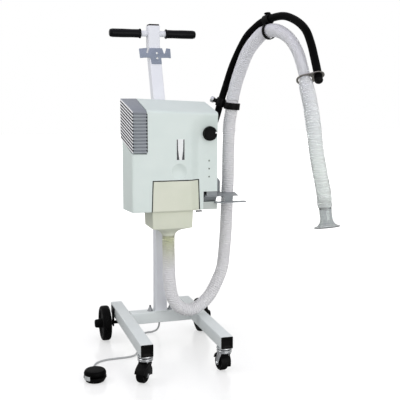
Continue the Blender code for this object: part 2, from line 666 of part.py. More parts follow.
def build_housing():
    back, front = HOUSING_BACK, -HOUSING_FRONT
    rim = back - SHELL - CLEAR
    inner, floor = front + PANEL_DEPTH + SHELL, HOUSING_BOTTOM + SHELL

    def outside(x):
        side = [(rim, housing_bottom(rim)), (front, HOUSING_BOTTOM), (front, housing_top(x, front)),
                (rim, housing_top(x, rim))]
        return level(rounded(side, [0, 0.004, 0.016, 0], 5), x, "X")

    def inside(x):
        roof = [(y, housing_top(x, y) - SHELL - 0.002) for y in (inner, rim + 0.05)]
        return level([(rim + 0.05, floor), (inner, floor)] + roof, x, "X")

    plan = crowned_plan(-HOUSING_LEFT, HOUSING_RIGHT, rim + 0.01)
    plan = rounded(plan, [0, 0.010] + [0] * 11 + [0.010, 0], 4)
    cover = add("housing_cover", skin([outside(-0.3), outside(0.3)]), SHELL_WHITE)
    shape(cover, "INTERSECT", prism(plan, 0.3, 1.0, "Z"))
    cut(cover, skin([inside(SHELL - HOUSING_LEFT), inside(HOUSING_RIGHT - SHELL)]), strip_cutter(),
        prism(drawer_outline(0), front - 0.05, inner + 0.006, "Y"),
        block((INLET_X - INLET_WIDTH / 2 + 0.012, INLET_Y - 0.048, HOUSING_BOTTOM - 0.05),
              (INLET_X + INLET_WIDTH / 2 - 0.012, INLET_Y + 0.048, floor + 0.005)), scoop_ball())
    low = [grille_top(y) - FIN_COUNT * FIN_PITCH for y in (front - 0.05, rim + 0.05)]
    corner = [(front - 0.05, low[0]), (rim + 0.05, low[1]), (rim + 0.05, 1.0), (front - 0.05, 1.0)]
    cut(cover, prism(corner, -0.3, -GRILLE_RIGHT, "X"))
    holes = [rod((KNOB_X, front, KNOB_Z), (KNOB_X, inner + 0.01, KNOB_Z), 0.003 + RUN, 16)]
    hole = LIGHT_DIAMETER / 2 + CLEAR
    holes += [rod((LIGHT_X, front, z), (LIGHT_X, inner + 0.01, z), hole, 12) for z in LIGHT_Z]
    slot = SHELF_HEIGHT - SLOT_BELOW, SHELF_HEIGHT + SLOT_ABOVE
    cut(cover, joined(holes), block((SLOT_LEFT, front - 0.05, slot[0]), (0.3, -0.100, slot[1])))

    outline = [(-HOUSING_LEFT, housing_bottom(back)), (HOUSING_RIGHT, housing_bottom(back)),
               (HOUSING_RIGHT, housing_top(HOUSING_RIGHT, rim)), (-HOUSING_LEFT, grille_top(rim))]
    plate = add("housing_back", prism(rounded(outline, 0.002, 2), back - SHELL, back, "Y"), SHELL_WHITE)
    a, b = MAINS_WIDTH / 2, MAINS_HEIGHT / 2
    cut(plate, prism(corners(*MAINS_AT, a + CLEAR, b + CLEAR), back - 0.02, back + 0.02, "Y"))
    inlet = add("mains_inlet", prism(corners(*MAINS_AT, a, b), back - 0.025, back + 0.002, "Y"), BLACK)
    join(inlet, prism(corners(*MAINS_AT, a + 0.0043, b + 0.0043), back + CLEAR, back + 0.0025, "Y"))
    cut(inlet, prism(corners(*MAINS_AT, a - 0.0027, b - 0.0027), back - 0.016, back + 0.02, "Y"))
    build_grille(rim)
    build_drawer(front, inner, floor)
    build_inlet_box()
    build_blower()
    build_controls(front + PANEL_DEPTH)


def build_grille(rim):
    """Louvres round the upper left corner, sloping up to the back, on three posts."""
    left, right = GRILLE_TUCK - HOUSING_LEFT, -GRILLE_RIGHT - GRILLE_GAP
    front, wide = -HOUSING_FRONT, -HOUSING_LEFT - GRILLE_PROUD
    inside_x, inside_y = left + FIN_DEPTH, front + FIN_DEPTH
    bend = [(wide, rim), (left, front), (right, front), (right, inside_y), (inside_x, inside_y),
            (inside_x, rim)]
    lid = [(wide, rim), (left, front), (right, front), (right, rim)]
    fins = []
    for k in range(FIN_COUNT):
        drop = k * FIN_PITCH
        outline = lid if k == 0 else bend
        edges = drop, drop + FIN_THICKNESS
        fins.append(skin([[(x, y, grille_top(y) - edge) for x, y in outline] for edge in edges]))
    grille = add("louvre_grille", joined(fins), GREY)
    foot = FIN_COUNT * FIN_PITCH - FIN_PITCH + FIN_THICKNESS / 2
    posts = []
    for x, y in ((right, inside_y), (inside_x, inside_y), (inside_x, rim)):
        post = corners(x - 0.005, y - 0.005, 0.002, 0.002)
        ends = FIN_THICKNESS / 2, foot
        posts.append(skin([[(a, b, grille_top(b) - end) for a, b in post] for end in ends]))
    join(grille, joined(posts))


def build_drawer(front, inner, floor):
    left, right = DRAWER_MIDDLE - DRAWER_WIDTH / 2, DRAWER_MIDDLE + DRAWER_WIDTH / 2
    plan = crowned_plan(left - DRAWER_FLARE, right + DRAWER_FLARE, inner + 0.004)
    drawer = add("filter_drawer", prism(plan, HOUSING_BOTTOM, DRAWER_TOP, "Z"), CREAM)
    shape(drawer, "INTERSECT", prism(drawer_outline(DRAWER_GAP), front - 0.05, inner + 0.05, "Y"))
    cut(drawer, strip_cutter())
    start, end = inner + 0.002, inner + 0.004 + DRAWER_DEPTH
    low, high = floor + CLEAR, DRAWER_TOP - 0.012
    x0, x1 = left + 0.005, right - 0.005
    wall = DRAWER_WALL
    join(drawer, block((x0, start, low), (x1, end, high)))
    cut(drawer, block((x0 + wall, inner + 0.0055, low + wall), (x1 - wall, end - wall, high + 0.02)),
        block((INLET_X - INLET_WIDTH / 2 + 0.014, INLET_Y - 0.044, low - 0.02),
              (INLET_X + INLET_WIDTH / 2 - 0.014, INLET_Y + 0.044, low + 0.01)))

    base = low + wall + CLEAR
    crest = base + PLEAT_HEIGHT
    fx0, fx1 = x0 + wall + CLEAR, x1 - wall - CLEAR
    step = (fx1 - fx0) / PLEATS
    tops = [(fx0 + step * (k + part), crest - drop) for k in range(PLEATS)
            for part, drop in ((0.25, 0), (0.75, 0.006))]
    outline = [(fx0, base), (fx1, base), (fx1, crest)] + tops[::-1] + [(fx0, crest - 0.003)]
    add("filter_pack", prism(outline, inner + 0.0055 + CLEAR, end - wall - CLEAR, "Y"), FILTER_PAPER)


def ring_of(width, length, radius, steps=4):
    """A rounded rectangle with as many points as every other ring here, round the hose inlet."""
    radius = min(radius, width / 2 - 1e-5, length / 2 - 1e-5)
    return rounded(corners(INLET_X, INLET_Y, width / 2, length / 2), radius, steps)


def build_inlet_box():
    """A shallow hopper under the filter drawer that narrows to the hose spigot."""
    fall = INLET_BOTTOM - SPIGOT_TOP
    neck = SPIGOT_DIAMETER + 6 * INLET_WALL

    def rings(less):
        top = ring_of(INLET_WIDTH - 2 * less, INLET_LENGTH - 2 * less, INLET_CORNER)
        loops = [[(x, y, housing_bottom(y) - CLEAR) for x, y in top]]
        steps = [(INLET_WIDTH - 0.004, INLET_LENGTH - 0.004, INLET_CORNER, INLET_BOTTOM),
                 (INLET_WIDTH * 0.76, INLET_LENGTH * 0.79, 1.0, SPIGOT_TOP + fall * 0.76),
                 (neck * 1.5, neck * 1.46, 1.0, SPIGOT_TOP + fall * 0.5),
                 (neck * 1.12, neck * 1.12, 1.0, SPIGOT_TOP + fall * 0.24), (neck, neck, 1.0, SPIGOT_TOP),
                 (SPIGOT_DIAMETER, SPIGOT_DIAMETER, 1.0, SPIGOT_TOP)]
        for width, length, radius, height in steps:
            loops.append(level(ring_of(width - 2 * less, length - 2 * less, radius), height + less, "Z"))
        end = ring_of(SPIGOT_DIAMETER - 2 * less, SPIGOT_DIAMETER - 2 * less, 1.0)
        return loops + [level(end, SPIGOT_TOP - SPIGOT_LENGTH, "Z")]

    add("inlet_box", skin(rings(0) + rings(INLET_WALL)[::-1], closed=True), CREAM)


def build_blower():
    """A scroll on a shelf across the housing, with the motor on top and the rotor on its shaft."""
    x, y, base, wall = BLOWER_X, BLOWER_Y, BLOWER_BASE, BLOWER_WALL
    top = base + BLOWER_HEIGHT

    def scroll(less, mouth):
        radius, low = BLOWER_RADIUS - less, 0.018 + less
        start = 180 - math.degrees(math.asin(low / radius))
        return arc(x, y, radius, 90, start - 360, 20) + [(mouth, y + low), (mouth, y + radius)]

    shelf = block((0.019 - HOUSING_LEFT, 0.029 - HOUSING_FRONT, base),
                  (HOUSING_RIGHT - 0.008, HOUSING_BACK - SHELL - CLEAR, base + 0.003))
    casing = add("blower_casing", shelf, BLACK)
    join(casing, prism(scroll(0, -0.075), base + 0.001, top, "Z"))
    bore = SHAFT_DIAMETER / 2 + RUN
    cut(casing, prism(scroll(wall, -0.090), base + 0.003, top - wall, "Z"),
        rod((x, y, base - 0.01), (x, y, base + 0.01), 0.026, 24),
        rod((x, y, top - 0.01), (x, y, top + 0.01), bore, 16))

    plate, wheel = top - 0.013, BLOWER_RADIUS - 0.010
    shaft = SHAFT_DIAMETER / 2
    hub = [(0, plate - 0.014), (2.2 * shaft, plate - 0.014), (2.2 * shaft, plate - 0.002),
           (wheel, plate - 0.002), (wheel, plate), (2 * shaft, plate), (2 * shaft, plate + 0.004),
           (shaft, plate + 0.006), (shaft, top + MOTOR_HEIGHT - 0.017), (0, top + MOTOR_HEIGHT - 0.017)]
    rotor = add("impeller", lathe(hub, frame((x, y, 0), ALONG_Z), 24), BLACK, (x, y, base))
    blades = []
    for k in range(BLADES):
        blade = block((wheel * 0.43, -0.0008, base + 0.010), (wheel - 0.0005, 0.0008, plate - 0.001))
        blade.transform(Matrix.Translation((x, y, 0)) @ Matrix.Rotation(2 * math.pi * k / BLADES, 4, "Z"))
        blades.append(blade)
    join(rotor, joined(blades))

    low, radius = top + CLEAR, MOTOR_DIAMETER / 2
    high = low + MOTOR_HEIGHT
    motor = [(0, high), (radius - 0.003, high), (radius, high - 0.003), (radius, low), (bore, low),
             (bore, high - 0.006), (0, high - 0.006)]
    add("motor", lathe(motor, frame((x, y, 0), ALONG_Z), 20), MOTOR_CASE)


def build_controls(face):
    board_front = face + SHELL + 0.0055
    card = block((LIGHT_X - 0.022, board_front, LIGHT_Z[-1] - 0.014),
                 (KNOB_X + 0.020, board_front + 0.0016, KNOB_Z + 0.028))
    board = add("control_board", card, GREEN_BOARD)
    turned = corners(KNOB_X, KNOB_Z, 0.008, 0.008)
    join(board, prism(turned, board_front + 0.001, board_front + 0.012, "Y"))
    cut(board, rod((KNOB_X, face, KNOB_Z), (KNOB_X, board_front + 0.010, KNOB_Z), 0.003 + RUN, 16))
    for k, z in enumerate(LIGHT_Z):
        radius = LIGHT_DIAMETER / 2
        length = board_front - CLEAR - face
        lens = [(0, -length), (radius, -length), (radius, 0.0005), (radius * 0.8, 0.0016), (0, 0.0022)]
        add(f"indicator_{k + 1}", lathe(lens, frame((LIGHT_X, face, z), -ALONG_Y), 12), LENS)
    radius, stem = KNOB_DIAMETER / 2, board_front + 0.008 - face
    knob = [(0, -stem), (0.003, -stem), (0.003, CLEAR), (radius, CLEAR), (radius, 0.003),
            (radius - 0.0015, 0.004), (radius - 0.0025, KNOB_HEIGHT - 0.002), (radius - 0.0045, KNOB_HEIGHT),
            (radius - 0.009, KNOB_HEIGHT - 0.0008), (0, KNOB_HEIGHT - 0.0012)]
    place = frame((KNOB_X, face, KNOB_Z), -ALONG_Y, ALONG_X)
    piece = add("speed_knob", lathe(knob, place, 24), BLACK, place.translation)
    turn = math.radians(10)
    dot = Vector((KNOB_X + 0.0165 * math.cos(turn), face - KNOB_HEIGHT, KNOB_Z + 0.0165 * math.sin(turn)))
    cut(piece, rod(dot - ALONG_Y * 0.004, dot + ALONG_Y * 0.0009, 0.0018, 10))


def build_bracket():
    """Sheet bracket on the right wall: a shelf that cradles the hose, and a blade under it."""
    low, wall = SHELF_HEIGHT, HOUSING_RIGHT + CLEAR
    slot, front, back = SLOT_LEFT + 0.005, -SHELF_FRONT, -SHELF_BACK
    hose = HOSE_LOWER_ROUTE[14][:2]
    reach = HOSE_CREST / 2 + 0.001
    notch = arc(*hose, reach, -35, -180, 10)
    edge = hose[0] + reach
    outline = [(slot, front), (edge - 0.018, front), (edge - 0.0005, hose[1] - 0.015)] + notch
    outline += [(notch[-1][0], -0.045), (wall, -0.045), (wall, back), (slot, back)]
    bracket = add("hose_bracket", prism(outline, low, low + SHEET, "Z"), STEEL)
    ramp = [(front, low + 0.0005), (front, low + SHEET), (back, low + SLOT_ABOVE - 0.001),
            (back, low + SLOT_ABOVE - 0.001 - SHEET)]
    gusset = [(wall, low + 0.001), (wall, low + GUSSET_RISE), (hose[0] - reach - 0.001, low + 0.038),
              (hose[0] - reach - 0.001, low + 0.001)]
    web = [(wall + 0.020, low + 0.001), (wall + 0.028, low - BLADE_DROP), (wall + 0.050, low - BLADE_DROP),
           (wall + 0.054, low + 0.001)]
    face = -HOUSING_FRONT + PANEL_DEPTH - 0.0015
    blade = low - BLADE_DROP - 0.0018, low - BLADE_DROP + 0.0018
    join(bracket, prism(ramp, slot, HOUSING_RIGHT, "X"), prism(gusset, GUSSET_Y, GUSSET_Y + SHEET, "Y"),
         block((wall, -0.110, low + 0.001), (wall + SHEET, -0.047, low + GUSSET_RISE - 0.010)),
         prism(web, face - SHEET - 0.001, face - 0.001, "Y"),
         block((wall + 0.020, face - SHEET - 0.0015, low + 0.0005),
               (wall + 0.054, -0.160, low + SHEET - 0.0005)),
         block((SLOT_LEFT + 0.036, face - 0.017, blade[0]), (edge + 0.0046, face, blade[1])))


def build_arm():
    bore = ARM_DIAMETER / 2 + RUN
    socket = [(0, SOCKET_BOTTOM), (0.018, SOCKET_BOTTOM), (0.018, SOCKET_TOP), (bore, SOCKET_TOP),
              (bore, SOCKET_BOTTOM + 0.0055), (0, SOCKET_BOTTOM + 0.0055)]
    bracket = add("arm_bracket", lathe(socket, frame((ARM_X, ARM_Y, 0), ALONG_Z)), BLACK)
    side = TUBE / 2 + CLEAR
    middle = (SOCKET_BOTTOM + SOCKET_TOP) / 2
    join(bracket,
         block((side + 0.002, -0.0170, middle - 0.014), (ARM_X - 0.0135, -0.0070, middle + 0.014)),
         block((side, -0.0165, middle - 0.036), (side + 0.004, 0.016, middle + 0.036)))

    mesh = tube(ARM_POINTS, [ARM_DIAMETER / 2] * len(ARM_POINTS), 3)
    add("support_arm", mesh, BLACK, (ARM_X, ARM_Y, SOCKET_BOTTOM))


def arm_place(spot, side):
    """The place on the arm nearest to a spot, Z along the arm and X towards the hose."""
    spot, found = Vector(spot), []
    for a, b in zip(ARM_POINTS, ARM_POINTS[1:]):
        part = (spot - a).dot(b - a) / (b - a).length_squared
        near = a.lerp(b, min(max(part, 0), 1))
        found.append(((near - spot).length, near, b - a))
    _, near, along = min(found, key=lambda item: item[0])
    return frame(near, along, side)


def build_clamp(name, place, reach, along, height, band, surface, screw_name, boss, head):
    """A sleeve on the arm, a hook round the hose and a screw on the far side."""
    bore, outer = ARM_DIAMETER / 2 + CLAMP_EASE, ARM_DIAMETER / 2 + 0.0040
    grip, half = HOSE_CREST / 2 + HOSE_EASE, CLAMP_HEIGHT / 2
    sleeve = [(bore, -half), (outer - 0.001, -half), (outer, 0.001 - half), (outer, half - 0.001),
              (outer - 0.001, half), (bore, half)]
    clamp = add(name, lathe(sleeve, place, 20, closed=True), BLACK)
    centre = place @ Vector((reach, 0, 0))
    held = frame(centre, along, place.to_3x3() @ ALONG_X)
    hook = prism(arc(0, 0, grip, 125, 415, 14) + arc(0, 0, grip + band, 415, 125, 14),
                 -height / 2, height / 2, "Z")
    hook.transform(held)
    web = block((bore, -0.006, -height / 2), (reach - grip - 0.0003, 0.006, height / 2))
    web.transform(place)
    turn = place @ frame((0, 0, 0), (-1, 0, 0))
    seat = outer + boss
    join(clamp, hook, web, lathe([(0, 0.010), (0.008, 0.010), (0.007, seat), (0, seat)], turn, 16))
    cut(clamp, lathe([(0, -0.05), (bore, -0.05), (bore, 0.05), (0, 0.05)], place, 20),
        lathe([(0, -0.05), (grip, -0.05), (grip, 0.05), (0, 0.05)], held, 28),
        lathe([(0, 0), (0.003 + RUN, 0), (0.003 + RUN, 0.05), (0, 0.05)], turn, 12))
    start, under = ARM_DIAMETER / 2 + 0.0005, seat + RUN
    tip = under + head
    screw = [(0, start), (0.003, start), (0.003, under), (0.0095, under), (0.0105, under + 0.0012),
             (0.0105, tip - 0.0015), (0.009, tip), (0, tip)]
    add(screw_name, lathe(screw, turn, 16), surface, turn.translation)
    return centre


def ribbed(name, points, narrow=None):
    """A hose with two points of unlike radius to each rib, and a plain bore.

    Narrow gives where the hose starts to thin and where it is thinnest, before it is full again.
    """
    points = spaced(points, RIB_PITCH / 2)
    if len(points) % 2 == 0:
        points = spaced(points, RIB_PITCH / 2 * 1.004)
    shares = [1.0] * len(points)
    if narrow:
        start, end = (min(range(len(points)), key=lambda k: (points[k] - spot).length) for spot in narrow)
        for k in range(start, end + 2):
            shares[k] = max(1 - (1 - HOSE_NECK) * (k - start) / (end - start), HOSE_NECK)
    radii = [(HOSE_CREST if k % 2 else HOSE_ROOT) / 2 * share for k, share in enumerate(shares)]
    hose = add(name, tube(points, radii, 2), HOSE)
    first = points[0] + (points[0] - points[1]).normalized() * 0.006
    last = points[-1] + (points[-1] - points[-2]).normalized() * 0.006
    places = list(range(0, len(points) - 1, 4)) + ([len(points) - 1] if (len(points) - 1) % 4 > 1 else [])
    inside = [first] + [points[k] for k in places] + [last]
    bores = [HOSE_BORE / 2 * min(shares[max(k - 4, 0):k + 5]) for k in [0] + places + [len(points) - 1]]
    return cut(hose, tube(inside, bores, 2)), points


def build_hose():
    lower = arm_place(CLAMP_LOWER_AT, CLAMP_LOWER_SIDE)
    upper = arm_place(CLAMP_UPPER_AT, CLAMP_UPPER_SIDE)
    rise, along = Vector(HOSE_RISE).normalized(), upper.to_3x3() @ ALONG_Z
    at_lower = build_clamp("hose_clamp_lower", lower, CLAMP_LOWER_REACH, rise, 0.022, 0.0045, STEEL,
                           "clamp_screw_lower", boss=0.009, head=0.012)
    at_upper = build_clamp("hose_clamp_upper", upper, CLAMP_UPPER_REACH, along, 0.010, CLAMP_BAND, BLACK,
                           "clamp_screw_upper", boss=0.001, head=0.004)

    ring = arm_place(ARM_ROUTE[-1], RING_SIDE)
    hole = HOSE_CREST / 2 * HOSE_NECK + HOSE_EASE + 0.001
    outer_a, outer_b = ARM_DIAMETER / 2 + 0.007, hole + 0.006
    spread = math.degrees(math.acos((outer_a - outer_b) / RING_REACH))
    outline = arc(0, 0, outer_a, spread, 360 - spread, 12) + arc(RING_REACH, 0, outer_b, -spread, spread, 16)
    plate = prism(outline, -RING_BACK, RING_SHEET - RING_BACK, "Z")
    plate.transform(ring)
    plate = add("ring_plate", plate, STEEL)
    for reach, radius in ((0, ARM_DIAMETER / 2 + RUN), (RING_REACH, hole)):
        cut(plate, lathe([(0, -0.03), (radius, -0.03), (radius, 0.02), (0, 0.02)],
                         ring @ Matrix.Translation((reach, 0, 0)), 24))
    at_ring = ring @ Vector((RING_REACH, 0, -RING_BACK))
    radius = ARM_DIAMETER / 2 + 0.0005
    cap = [(0, CLEAR), (radius, CLEAR), (radius, 0.004), (radius - 0.002, 0.008), (radius - 0.006, 0.011),
           (0, 0.012)]
    add("arm_end_cap", lathe(cap, ring), BLACK)

    down = ring.to_3x3() @ ALONG_Z
    straight = (0.026, 0.013, CLEAR)
    ribbed("hose_lower", HOSE_LOWER_ROUTE + [at_lower - rise * back for back in straight])
    route = [at_lower + rise * on for on in straight[::-1]] + HOSE_UPPER_ROUTE
    route += [at_upper - along * 0.012, at_upper + along * 0.012] + HOSE_CREST_ROUTE
    route += [at_ring - down * 0.010, at_ring + down * 0.010] + HOSE_END_ROUTE
    _, points = ribbed("hose_upper", route, (at_upper, at_ring))

    end = frame(points[-1], points[-1] - points[-2])
    tip = [(0.0145, -0.020), (0.0145, CLEAR), (0.018, CLEAR), (0.018, 0.036), (0.0195, 0.043),
           (0.0235, 0.050), (0.030, 0.0555), (0.0375, 0.0585), (0.0375, 0.0610), (0.0290, 0.0578),
           (0.0215, 0.052), (0.0160, 0.038), (0.0160, 0.010), (0.0120, 0.004), (0.0120, -0.020)]
    add("suction_nozzle", lathe(tip, end, 22, closed=True), CLEAR_PLASTIC)


def build_foot_switch():
    radius, place = SWITCH_DIAMETER / 2, frame((SWITCH_X, SWITCH_Y, 0), ALONG_Z)
    wall, foot, inner = SWITCH_HEIGHT - 0.0145 - PEDAL_TRAVEL - 0.0015, SWITCH_FOOT / 2, radius - 0.009
    base = [(0, 0), (foot - 0.001, 0), (foot, 0.001), (radius, wall - 0.004), (radius, wall), (inner, wall),
            (inner, 0.004), (0.005, 0.004), (0.005, 0.016), (0, 0.016)]
    body = add("foot_switch_base", lathe(base, place, 24), BLACK)
    exit_at = Vector(CABLE_ROUTE[-1])
    seat = Vector((SWITCH_X, SWITCH_Y, exit_at.z))
    out = (exit_at - seat).normalized()
    length = (exit_at - seat).length - RUN
    boot = [(0, inner + 0.001), (0.008, inner + 0.001), (0.0055, length), (0, length)]
    join(body, lathe(boot, frame(seat, out), 16))

    top, skirt = SWITCH_HEIGHT, inner - RUN
    under = top - 0.0145
    pedal = [(0, top), (radius * 0.72, top - 0.001), (radius - 0.005, top - 0.0045),
             (radius - 0.001, top - 0.0095), (radius - 0.001, under), (skirt, under), (skirt, under - 0.011),
             (skirt - 0.0025, under - 0.011), (skirt - 0.0025, top - 0.0065), (0, top - 0.0065)]
    add("foot_pedal", lathe(pedal, place, 24), BLACK, (SWITCH_X, SWITCH_Y, 0))

    turns, low, high = 4, 0.004 + CLEAR, top - 0.0065 - CLEAR
    wire = 0.0009
    coil = []
    for k in range(turns * 9 + 1):
        angle, part = 2 * math.pi * k / 9, k / (turns * 9)
        coil.append((SWITCH_X + 0.009 * math.cos(angle), SWITCH_Y + 0.009 * math.sin(angle),
                     low + wire + (high - low - 2 * wire) * part))
    add("pedal_spring", tube([Vector(point) for point in coil], [wire] * len(coil), 0), STEEL)

    route = spaced(CABLE_ROUTE, 0.022)
    add("foot_cable", tube(route, [CABLE_DIAMETER / 2] * len(route), 1), CABLE)
    back, height = TUBE / 2, CABLE_ROUTE[0][2]
    bore = CABLE_DIAMETER / 2 + CLEAR
    collar = [(0.0036, back - TUBE_WALL - 0.002), (0.0052, back - TUBE_WALL - 0.002), (0.0052, back + CLEAR),
              (0.009, back + CLEAR), (0.009, back + 0.002), (0.006, back + 0.011), (bore, back + 0.011),
              (bore, back + 0.0025), (0.0036, back + 0.0025)]
    add("cable_grommet", lathe(collar, frame((0, 0, height), ALONG_Y), 12, closed=True), RUBBER)


def centre_on_origin(cords):
    """Moves the stand frame so that the box of all but the cords stands on the origin."""
    bpy.context.view_layer.update()
    graph = bpy.context.evaluated_depsgraph_get()
    spots = []
    for piece in bpy.data.objects:
        if piece.type == "MESH" and not piece.hide_render and piece.name not in cords:
            ready = piece.evaluated_get(graph)
            spots += [ready.matrix_world @ vertex.co for vertex in ready.data.vertices]
    low, high = ([pick(spot[k] for spot in spots) for k in range(3)] for pick in (min, max))
    STAND.location = (-(low[0] + high[0]) / 2, -(low[1] + high[1]) / 2, -low[2])
    print("stand frame moved by", tuple(round(value, 6) for value in STAND.location))


build_stand()
build_casters()
build_rear_wheels()
build_housing()
build_bracket()
build_arm()
build_hose()
build_foot_switch()
centre_on_origin(("hose_lower", "hose_upper", "suction_nozzle", "foot_cable"))
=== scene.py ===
import math

import bmesh
import bpy
from mathutils import Matrix, Vector


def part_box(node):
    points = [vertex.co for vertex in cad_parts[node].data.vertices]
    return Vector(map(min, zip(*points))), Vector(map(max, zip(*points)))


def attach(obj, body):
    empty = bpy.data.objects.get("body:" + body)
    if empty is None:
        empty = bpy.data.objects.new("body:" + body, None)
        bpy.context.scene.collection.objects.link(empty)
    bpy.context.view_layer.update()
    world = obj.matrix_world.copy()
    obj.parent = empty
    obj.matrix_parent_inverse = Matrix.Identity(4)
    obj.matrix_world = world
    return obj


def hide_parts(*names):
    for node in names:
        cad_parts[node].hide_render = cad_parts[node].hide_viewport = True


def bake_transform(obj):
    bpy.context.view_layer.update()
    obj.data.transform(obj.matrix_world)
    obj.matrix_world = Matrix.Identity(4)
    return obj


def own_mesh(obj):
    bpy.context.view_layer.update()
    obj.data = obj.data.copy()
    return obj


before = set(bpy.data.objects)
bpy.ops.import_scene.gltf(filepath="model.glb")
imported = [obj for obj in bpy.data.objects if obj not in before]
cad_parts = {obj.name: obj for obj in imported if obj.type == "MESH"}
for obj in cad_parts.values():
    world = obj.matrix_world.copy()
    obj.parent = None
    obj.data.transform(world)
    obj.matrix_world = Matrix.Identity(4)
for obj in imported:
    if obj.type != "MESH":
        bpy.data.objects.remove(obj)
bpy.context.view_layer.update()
halfTube = 0.020
mastLow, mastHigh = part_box("mast")
standAt = Vector(((mastLow.x + mastHigh.x) / 2, mastLow.y + halfTube, 0.0))  # floor under the mast
alongX, alongY, alongZ = Vector((1, 0, 0)), Vector((0, 1, 0)), Vector((0, 0, 1))
bothSides = (("left", -1), ("right", 1))
print("frame loaded with", len(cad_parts), "CAD nodes")


# meshes, all drawn in the stand's own frame and moved to their place by addPiece

def linked(name, data):
    made = bpy.data.objects.new(name, data)
    bpy.context.scene.collection.objects.link(made)
    return made


def meshFrom(bm):
    mesh = bpy.data.meshes.new("piece")
    bm.to_mesh(mesh)
    bm.free()
    return mesh


def meshOf(points, faces):
    bm = bmesh.new()
    spots = [bm.verts.new(point) for point in points]
    for face in faces:
        bm.faces.new([spots[k] for k in face])
    bmesh.ops.recalc_face_normals(bm, faces=bm.faces)
    return meshFrom(bm)


def skin(loops, closed=False):
    # joins loops of equally many points, with caps at the ends unless the last meets the first
    count = len(loops[0])
    pairs = [(k, k + 1) for k in range(len(loops) - 1)] + ([(len(loops) - 1, 0)] if closed else [])
    faces = []
    for low, high in pairs:
        for k in range(count):
            after = (k + 1) % count
            faces.append((low * count + k, low * count + after, high * count + after, high * count + k))
    if not closed:
        last = (len(loops) - 1) * count
        faces += [tuple(range(count)), tuple(range(last, last + count))]
    return meshOf([point for loop in loops for point in loop], faces)


def aim(origin, up, side=None):
    up = Vector(up).normalized()
    side = Vector(side) if side else (alongX if abs(up.x) < 0.9 else alongY)
    across = (side - up * side.dot(up)).normalized()
    place = Matrix((across, up.cross(across), up)).transposed().to_4x4()
    place.translation = Vector(origin)
    return place


def fillet(points, radius, steps=3, closed=True):
    straight, share = math.radians(88), 0.49  # half angle left as it is, part of a side used at most
    points = [Vector(point) for point in points]
    made = []
    for k, corner in enumerate(points):
        before, after = points[k - 1] - corner, points[(k + 1) % len(points)] - corner
        half = before.angle(after, math.pi) / 2
        if (not closed and k in (0, len(points) - 1)) or half > straight:
            made.append(tuple(corner))
            continue
        back = min(radius / math.tan(half), share * before.length, share * after.length)
        bend = back * math.tan(half)
        before, after = before.normalized(), after.normalized()
        middle = corner + (before + after).normalized() * bend / math.sin(half)
        first, last = corner + before * back - middle, corner + after * back - middle
        spokes = [first.slerp(last, step / steps).normalized() for step in range(steps + 1)]
        made += [tuple(middle + spoke * bend) for spoke in spokes]
    return made


def lathe(profile, place, steps, closed=False, edge=0.0, edgeSteps=3):
    # turns (radius, height) points about the place's Z axis, with corners rounded to edge
    bm = bmesh.new()
    turns = [2 * math.pi * k / steps for k in range(steps)]
    rings = []
    for radius, height in fillet(profile, edge, edgeSteps, closed) if edge else profile:
        circle = [(radius * math.cos(t), radius * math.sin(t), height) for t in turns]
        rings.append([bm.verts.new(point) for point in (circle if radius > 1e-6 else circle[:1])])
    for low, high in zip(rings, rings[1:] + rings[:1] if closed else rings[1:]):
        for k in range(steps):
            spots = (low, k), (low, k + 1), (high, k + 1), (high, k)
            face = list(dict.fromkeys(ring[at % len(ring)] for ring, at in spots))
            if len(face) > 2:
                bm.faces.new(face)
    bmesh.ops.recalc_face_normals(bm, faces=bm.faces)
    mesh = meshFrom(bm)
    mesh.transform(place)
    return mesh


def mirrored(profile):
    return profile + [(radius, -height) for radius, height in profile[::-1]]


def arc(a, b, radius, start, end, steps):
    turns = [math.radians(start + (end - start) * k / steps) for k in range(steps + 1)]
    return [(a + radius * math.cos(t), b + radius * math.sin(t)) for t in turns]


def rectangle(a0, b0, a1, b1):
    return [(a0, b0), (a1, b0), (a1, b1), (a0, b1)]


def boxLoop(halfA, halfB, corner, steps=5, a=0.0, b=0.0):
    return fillet([(a + s * halfA, b + t * halfB) for s, t in rectangle(-1, -1, 1, 1)], corner, steps)


def slab(outline, low, high, axis):
    at = "XYZ".index(axis)
    return skin([[(*point[:at], height, *point[at:]) for point in outline] for height in (low, high)])


def smoothPath(points, spacing, fine=24):
    # a curve through all points, given again at even steps
    given = [Vector(point) for point in points]
    padded = [2 * given[0] - given[1]] + given + [2 * given[-1] - given[-2]]
    dense = []
    for a, b, c, d in zip(padded, padded[1:], padded[2:], padded[3:]):
        for step in range(fine):
            t = step / fine
            dense.append(0.5 * (2 * b + (c - a) * t + (2 * a - 5 * b + 4 * c - d) * t * t
                                + (3 * b - a - 3 * c + d) * t ** 3))
    dense.append(given[-1])
    lengths = [0.0]
    for a, b in zip(dense, dense[1:]):
        lengths.append(lengths[-1] + (b - a).length)
    count = max(2, round(lengths[-1] / spacing))
    made, at = [], 0
    for step in range(count + 1):
        wanted = lengths[-1] * step / count
        while at < len(dense) - 2 and lengths[at + 1] < wanted:
            at += 1
        part = (wanted - lengths[at]) / max(lengths[at + 1] - lengths[at], 1e-9)
        made.append(dense[at].lerp(dense[at + 1], part))
    return made


def lengthOf(path):
    return sum((b - a).length for a, b in zip(path, path[1:]))


